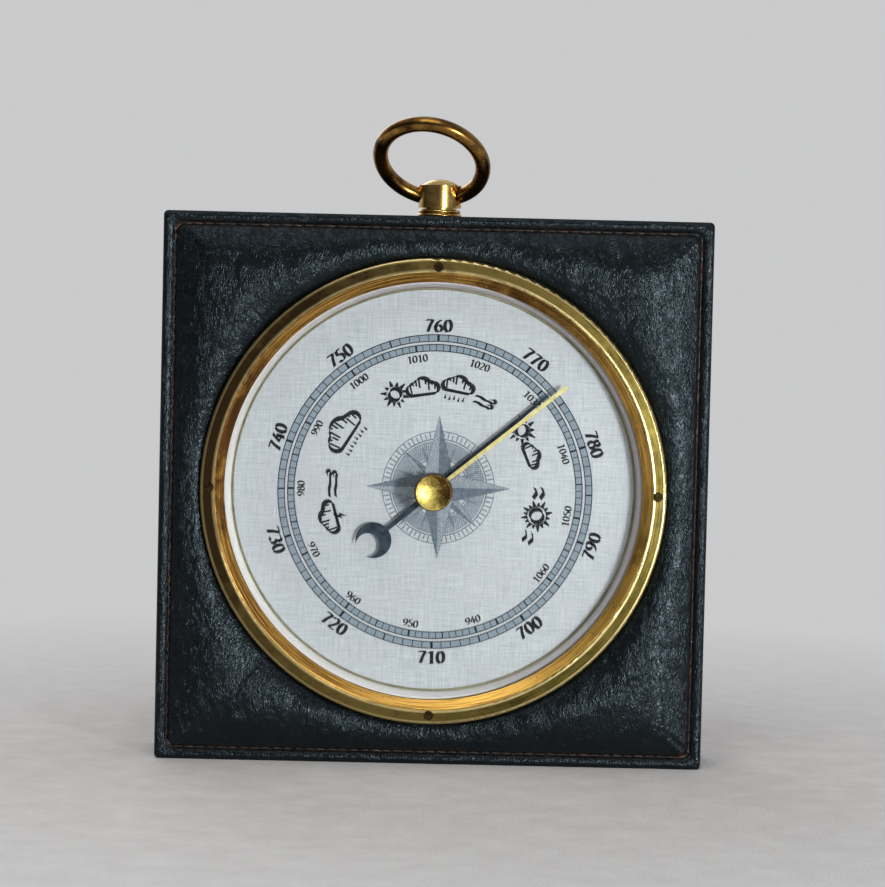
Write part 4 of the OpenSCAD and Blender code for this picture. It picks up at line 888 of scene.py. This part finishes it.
# Pen lines of the ten digits, in a box one unit high and about 0.6 wide
DIGITS = {
    "0": [bow(0.3, 0.5, 0.25, 0.46, 80, 440, 28)],
    "1": [[(0.1, 0.78), (0.33, 0.96), (0.33, 0.04)], [(0.17, 0.03), (0.5, 0.03)]],
    "2": [bow(0.28, 0.72, 0.23, 0.24, 165, -30) + [(0.05, 0.06)], [(0.05, 0.05), (0.56, 0.05)]],
    "3": [bow(0.26, 0.74, 0.22, 0.22, 150, -80), bow(0.26, 0.28, 0.26, 0.25, 88, -150)],
    "4": [[(0.42, 0.97), (0.03, 0.3), (0.6, 0.3)], [(0.43, 0.66), (0.43, 0.02)]],
    "5": [[(0.53, 0.95), (0.16, 0.95), (0.13, 0.58)], bow(0.26, 0.31, 0.28, 0.28, 118, -150)],
    "6": [[(0.5, 0.95), (0.24, 0.78), (0.06, 0.5), (0.05, 0.3)], bow(0.3, 0.29, 0.25, 0.26, 180, 540, 28)],
    "7": [[(0.04, 0.93), (0.57, 0.93), (0.34, 0.5), (0.2, 0.02)]],
    "8": [bow(0.3, 0.75, 0.19, 0.21, 0, 360, 24), bow(0.3, 0.28, 0.25, 0.26, 0, 360, 28)],
    "9": [bow(0.3, 0.69, 0.25, 0.26, 0, 360, 28), [(0.55, 0.68), (0.54, 0.48), (0.36, 0.2), (0.1, 0.05)]],
}


def bent_place(degrees, radius):
    """Carries a small flat drawing onto the dial, bent along a circle, its top outward."""
    return lambda u, v: polar(radians(degrees) + u / radius, radius + v)


def straight_place(degrees, radius, outward):
    """Carries a number onto the dial without bending, its top outward or towards the middle."""
    a = radians(degrees)
    sign = 1 if outward else -1
    return lambda u, v: (sin(a) * (radius + sign * v) + cos(a) * sign * u,
                         cos(a) * (radius + sign * v) - sin(a) * sign * u)


# The two bands' inner and outer radii, and the width of their border lines
OUTER_BAND = (46.95, 49)
INNER_BAND = (43.95, 45.95)
BORDER_W = 0.3

# Each scale: value at the top, degrees for one unit, values with a line and with a number, widths of the
# lines for tens, fives and ones, and the numbers' style: radius, height, pitch, pen width and slant
MERCURY = {
    "band": OUTER_BAND, "top": 760, "step": 3.6,
    "values": range(700, 800), "written": range(700, 800, 10),
    "widths": (0.75, 0.45, 0.24), "style": (51.8, 4.05, 2.9, 0.84, radians(14)),
}
MILLIBAR = {
    "band": INNER_BAND, "top": 1013.25, "step": 2.7,
    "values": range(940, 1073), "written": range(940, 1070, 10),
    "widths": (0.6, 0.4, 0.22), "style": (41.8, 2.35, 1.62, 0.42, radians(16)),
}
NUMBER_THIN = 0.35


def write_number(sheet, value, degrees, style):
    """One number of a scale, centred at its radius, its top outward in the dial's upper half."""
    radius, height, pitch, width, slant = style
    digits = str(value)
    turned_in = abs((degrees + 180) % 360 - 180) > 90
    place = straight_place(degrees, radius, not turned_in)
    for index, digit in enumerate(digits):
        left = (index - len(digits) / 2) * pitch
        for line in DIGITS[digit]:
            drawn = [(left + (px - 0.3) * height + pitch / 2, (py - 0.5) * height) for px, py in line]
            sheet.pen(drawn, width, slant, NUMBER_THIN * width, place)


def draw_scale(lines, numbers, band, top, step, values, written, widths, style):
    """The lines across one band and the numbers beside it."""
    tens, fives, ones = widths
    for value in values:
        width = tens if value % 10 == 0 else fives if value % 5 == 0 else ones
        turn = radians((value - top) * step)
        lines.line(polar(turn, band[0]), polar(turn, band[1]), width)
    for value in written:
        write_number(numbers, value, (value - top) * step, style)


def add_scales():
    """Two printed bands with their cells, and the numbers outside and inside them."""
    fill = Print("scale_bands", "scale_blue", PRINT_LIFT)
    lines = Print("scale_lines", "ink_black", LINE_LIFT)
    numbers = Print("scale_numbers", "ink_black", LINE_LIFT)
    for r_in, r_out in (OUTER_BAND, INNER_BAND):
        fill.ring((r_in + r_out) / 2, r_out - r_in)
        lines.ring(r_out, BORDER_W)
        lines.ring(r_in, BORDER_W)
    draw_scale(lines, numbers, **MERCURY)
    draw_scale(lines, numbers, **MILLIBAR)
    for sheet in (fill, lines, numbers):
        sheet.make()


# The round heads of a cloud one unit wide: middle across, middle up, radius, first and last angle
CLOUD_HEADS = ((-0.29, 0.15, 0.19, 235, 82), (-0.02, 0.24, 0.235, 152, 28), (0.29, 0.14, 0.175, 88, -50))


def cloud_line(x, y, w):
    """The outline of a small cloud, w wide, drawn in one line over its base."""
    line = []
    for across, up, r, first, last in CLOUD_HEADS:
        line += bow(x + across * w, y + up * w, r * w, r * w, first, last, 12)
    return line + line[:1]


# The pen of the weather signs, and the strokes that shade a cloud
SIGN_PEN = 1.35
SIGN_SLANT = radians(35)
SIGN_THIN = 0.4
HATCH_PITCH = 1.05
HATCH_W = 0.55


def draw_cloud(sheet, x, y, w, place):
    """A cloud in outline, shaded with upright strokes."""
    sheet.lift(LINE_LIFT)
    sheet.pen(cloud_line(x, y, w), SIGN_PEN * 0.75, SIGN_SLANT, SIGN_THIN, place)
    sheet.lift(HATCH_LIFT)
    strokes = round(w / HATCH_PITCH)
    for k in range(1, strokes):
        across = (k / strokes - 0.5) * 0.88
        tops = [up + sqrt(r * r - (across - middle) ** 2)
                for middle, up, r, *_ in CLOUD_HEADS if abs(across - middle) < r]
        if tops:
            top = y + (max(tops) - 0.03) * w
            bottom = top - (0.16 + 0.12 * sin(2.1 * k)) * w
            left = x + across * w - HATCH_W / 2
            right = left + HATCH_W
            outline = [(left, bottom + 0.3), (right, bottom), (right, top), (left, top)]
            sheet.polygon([place(*p) for p in outline])
    sheet.lift(LINE_LIFT)


def draw_sun(sheet, x, y, r, place, rays=12):
    """A ring with pointed rays."""
    sheet.pen(bow(x, y, r * 0.5, r * 0.5, 0, 360, 28), SIGN_PEN * 0.85, SIGN_SLANT, SIGN_THIN, place)
    for k in range(rays):
        turn = 2 * pi * k / rays
        root = 0.7 * r
        half = 0.16 * r / root
        reach = r * (1.18 if k % 2 else 1)
        outline = [(root, turn - half), (root, turn + half), (reach, turn + 0.04), (reach, turn - 0.04)]
        sheet.polygon([place(x + far * cos(a), y + far * sin(a)) for far, a in outline])


def draw_drops(sheet, x, y, count, place):
    """A row of falling drops at two heights."""
    for k in range(count):
        cx = x + (k - (count - 1) / 2) * 1.55
        cy = y - 0.3 * (k % 2)
        outline = bow(cx, cy, 0.44, 0.46, 205, 335, 8) + [(cx + 0.1, cy + 1.3)]
        sheet.polygon([place(*p) for p in outline])


def draw_bolt(sheet, x, y, h, place):
    """A flash of lightning."""
    outline = [(0.1, 1), (-0.26, 0.42), (-0.02, 0.45), (-0.16, 0), (0.32, 0.6), (0.08, 0.57), (0.36, 1)]
    sheet.polygon([place(x + px * h, y + py * h) for px, py in outline])


def draw_wind(sheet, x, y, w, place):
    """Two curled gusts."""
    for k in range(2):
        level = y + 1.9 * k
        line = [(x - w / 2, level)]
        line += [(x + w * (0.1 * j - 0.4), level + 0.14 * sin(j * 1.2)) for j in range(8)]
        line += bow(x + w * 0.36, level + 0.7, 0.74, 0.7, -80, 170, 14)
        sheet.pen(line, 0.85, SIGN_SLANT, 0.34, place)


SIGNS_R = 32.6


def add_weather_signs():
    """Small weather drawings in the places of the words round the dial."""
    sheet = Print("weather_signs", "ink_black", LINE_LIFT)
    storm = bent_place(-97, SIGNS_R)
    draw_cloud(sheet, -4.4, -0.6, 10.4, storm)
    draw_bolt(sheet, -4.8, -4.2, 4, storm)
    draw_wind(sheet, 6, -1.6, 8.6, storm)
    rain = bent_place(-57, SIGNS_R)
    draw_cloud(sheet, -0.2, -0.6, 14, rain)
    draw_drops(sheet, -0.8, -3.2, 8, rain)
    change = bent_place(0, SIGNS_R)
    draw_sun(sheet, -13.4, 0.2, 3.8, change)
    draw_cloud(sheet, -4.5, -1.8, 10.6, change)
    draw_cloud(sheet, 6.4, -0.4, 10, change)
    draw_drops(sheet, 5.8, -2.9, 5, change)
    draw_wind(sheet, 15.6, -1.8, 6.6, change)
    fair = bent_place(60, SIGNS_R)
    draw_sun(sheet, -3.8, 0.6, 3.9, fair)
    draw_cloud(sheet, 4.6, -2, 8.8, fair)
    dry = bent_place(102, SIGNS_R)
    draw_sun(sheet, 0, 0, 4.2, dry, rays=16)
    for side in (-1, 1):
        for level in (-1.5, 0.7):
            wave = [(side * 5.4, level - 0.4), (side * 7.2, level + 0.7), (side * 9, level)]
            sheet.pen(wave, 1, SIGN_SLANT, SIGN_THIN, dry)
    sheet.make()


# The rose's middle from the print's middle, and its rings of fine lines as pairs of radius and width
ROSE_MIDDLE = (1, 1.4)
ROSE_RINGS = ((9.2, 0.35), (9.8, 0.18), (14.4, 0.2), (15.1, 0.4), (17.5, 0.28))

# Its sets of points, lowest first: how many, first direction, length, and radius and half angle of the waist
ROSE_POINTS = ((8, 22.5, 14.2, 4.6, 11.25), (4, 45, 17.4, 5.4, 22.5), (4, 0, 22.4, 6.2, 45))


def between(a, b, share):
    """The point at a share of the way from a to b."""
    return a[0] + (b[0] - a[0]) * share, a[1] + (b[1] - a[1]) * share


def add_compass_rose():
    """A grey-blue compass rose in the middle of the dial, engraved in fine lines."""
    soft = Print("compass_rose_tint", "engraving_pale", 0.004, ROSE_MIDDLE)
    sharp = Print("compass_rose_lines", "engraving_blue", 0.008, ROSE_MIDDLE)
    centre = (0, 0)
    soft.ring(12.1, 4.6, 120)
    for k in range(120):
        a = radians(3 * k)
        sharp.line(polar(a, 9.9), polar(a + radians(8), 14.3), 0.2)
    sharp.lift(0.012)
    for k in range(72):
        a = radians(5 * k)
        sharp.line(polar(a, 15.4), polar(a, 16.9 if k % 2 else 17.4), 0.36)
    sharp.lift(0.016)
    for r, width in ROSE_RINGS:
        sharp.ring(r, width, 120)
    for level, (count, first, reach, waist, half_turn) in enumerate(ROSE_POINTS):
        lift = 0.02 + 0.01 * level
        for k in range(count):
            a = radians(first + 360 * k / count)
            tip = polar(a, reach)
            left = polar(a - radians(half_turn), waist)
            right = polar(a + radians(half_turn), waist)
            soft.lift(lift)
            soft.polygon([centre, left, tip])
            sharp.lift(lift)
            sharp.polygon([centre, tip, right])
            sharp.lift(lift + 0.004)
            sharp.line(left, tip, 0.16)
            for share in np.linspace(0.1, 0.9, round(reach * 0.7)):
                sharp.line(between(centre, tip, share), between(left, tip, share), 0.13)
    soft.make()
    sharp.make()


MATERIALS["ink_black"] = ink("ink_black", (0.006, 0.007, 0.009), (0.016, 0.018, 0.021))
MATERIALS["scale_blue"] = ink("scale_blue", (0.2, 0.265, 0.31), (0.29, 0.355, 0.4))
MATERIALS["engraving_blue"] = ink("engraving_blue", (0.1, 0.135, 0.17), (0.19, 0.235, 0.275), 0.8)
MATERIALS["engraving_pale"] = ink("engraving_pale", (0.25, 0.305, 0.34), (0.4, 0.45, 0.48), 0.8)

add_front_leather()
add_side_leather()
add_stitches()
add_scales()
add_weather_signs()
add_compass_rose()


# The background's colour, half the floor's side and where the floor fades into the background, in metres
BACKGROUND = (0.59, 0.593, 0.6)
FLOOR_HALF = 3
FADE_FROM = 0.12
FADE_TO = 0.42


def add_floor():
    """A plain pale floor that turns into the background's colour away from the object."""
    mesh = bpy.data.meshes.new("floor")
    corners = [(x * FLOOR_HALF, y * FLOOR_HALF, 0) for x, y in ((-1, -1), (1, -1), (1, 1), (-1, 1))]
    mesh.from_pydata(corners, [], [(0, 1, 2, 3)])
    floor = new_object("floor", mesh)
    s = Shader("pale_floor")
    speckle = s.noise(s.place(), 0.08, detail=6, rough=0.65)
    fine = s.noise(s.place(), 0.9, detail=4)
    colour = s.blend(speckle, 0.3, 0.7, (0.76, 0.728, 0.708), (0.88, 0.852, 0.832))
    s.finish(Base_Color=colour, Roughness=0.75, Normal=s.bump(fine, 0.15))
    x, y = s.split(s.place())[:2]
    away = s.math("SQRT", s.add(s.times(x, x), s.times(y, y)))
    fade = s.span(away, FADE_FROM / MM, FADE_TO / MM)
    path = s.node("LightPath").outputs
    seen = s.highest(path["Is Camera Ray"], path["Is Transmission Ray"])
    seen = s.highest(seen, path["Is Glossy Ray"])
    plain = s.node("Emission", {"Color": BACKGROUND}).outputs[0]
    blended = s.node("MixShader", {0: s.times(fade, seen), 1: s.surface.outputs[0], 2: plain})
    s.put(s.nodes["Material Output"].inputs["Surface"], blended.outputs[0])
    mesh.materials.append(s.data)


def add_world():
    """A plain pale background, and a room to light the object: dark in front, lighter elsewhere.

    Glossy rays see the background only behind the object: in the photo the room in front is dark.
    """
    s = Shader("room", world=True)
    bpy.context.scene.world = s.data
    direction = s.node("TexCoord").outputs["Generated"]
    x, y, z = s.split(direction)
    above = s.span(z, 0.35, 0.95, 0, 0.42)
    right = s.span(x, 0.35, 0.95, 0, 0.3)
    behind = s.span(y, 0.1, 0.8, 0, 0.14)
    bright = s.add(s.highest(above, behind), s.add(right, 0.035))
    room = s.mix(bright, (0, 0, 0), (0.94, 0.97, 1))
    path = s.node("LightPath").outputs
    mirrored = s.times(path["Is Glossy Ray"], s.span(y, 0.15, 0.5))
    seen = s.highest(path["Is Camera Ray"], s.highest(path["Is Transmission Ray"], mirrored))
    background = s.nodes["Background"]
    s.put(background.inputs["Color"], s.mix(seen, room, BACKGROUND))
    background.inputs["Strength"].default_value = 1


def add_lamp(name, place, target, size, watts, colour=(1, 1, 1)):
    """A soft square lamp that looks at a target."""
    lamp = bpy.data.lights.new(name, "AREA")
    lamp.size = size
    lamp.energy = watts
    lamp.color = colour
    holder = new_object(name, lamp)
    holder.location = place
    holder.rotation_euler = (Vector(target) - Vector(place)).to_track_quat("-Z", "Y").to_euler()


add_floor()
add_world()
add_lamp("window", (0.58, -1.2, 0.09), (0, 0, 0.085), 0.16, 12.4, (0.97, 0.985, 1))
add_lamp("front_fill", (-0.15, -0.8, 1.25), (0, 0, 0.09), 0.8, 5, (1, 0.99, 0.975))
add_lamp("back_fill", (-0.5, 1.3, 0.8), (0, 0, 0.09), 0.8, 3.5)

bpy.context.scene.view_settings.view_transform = "Standard"
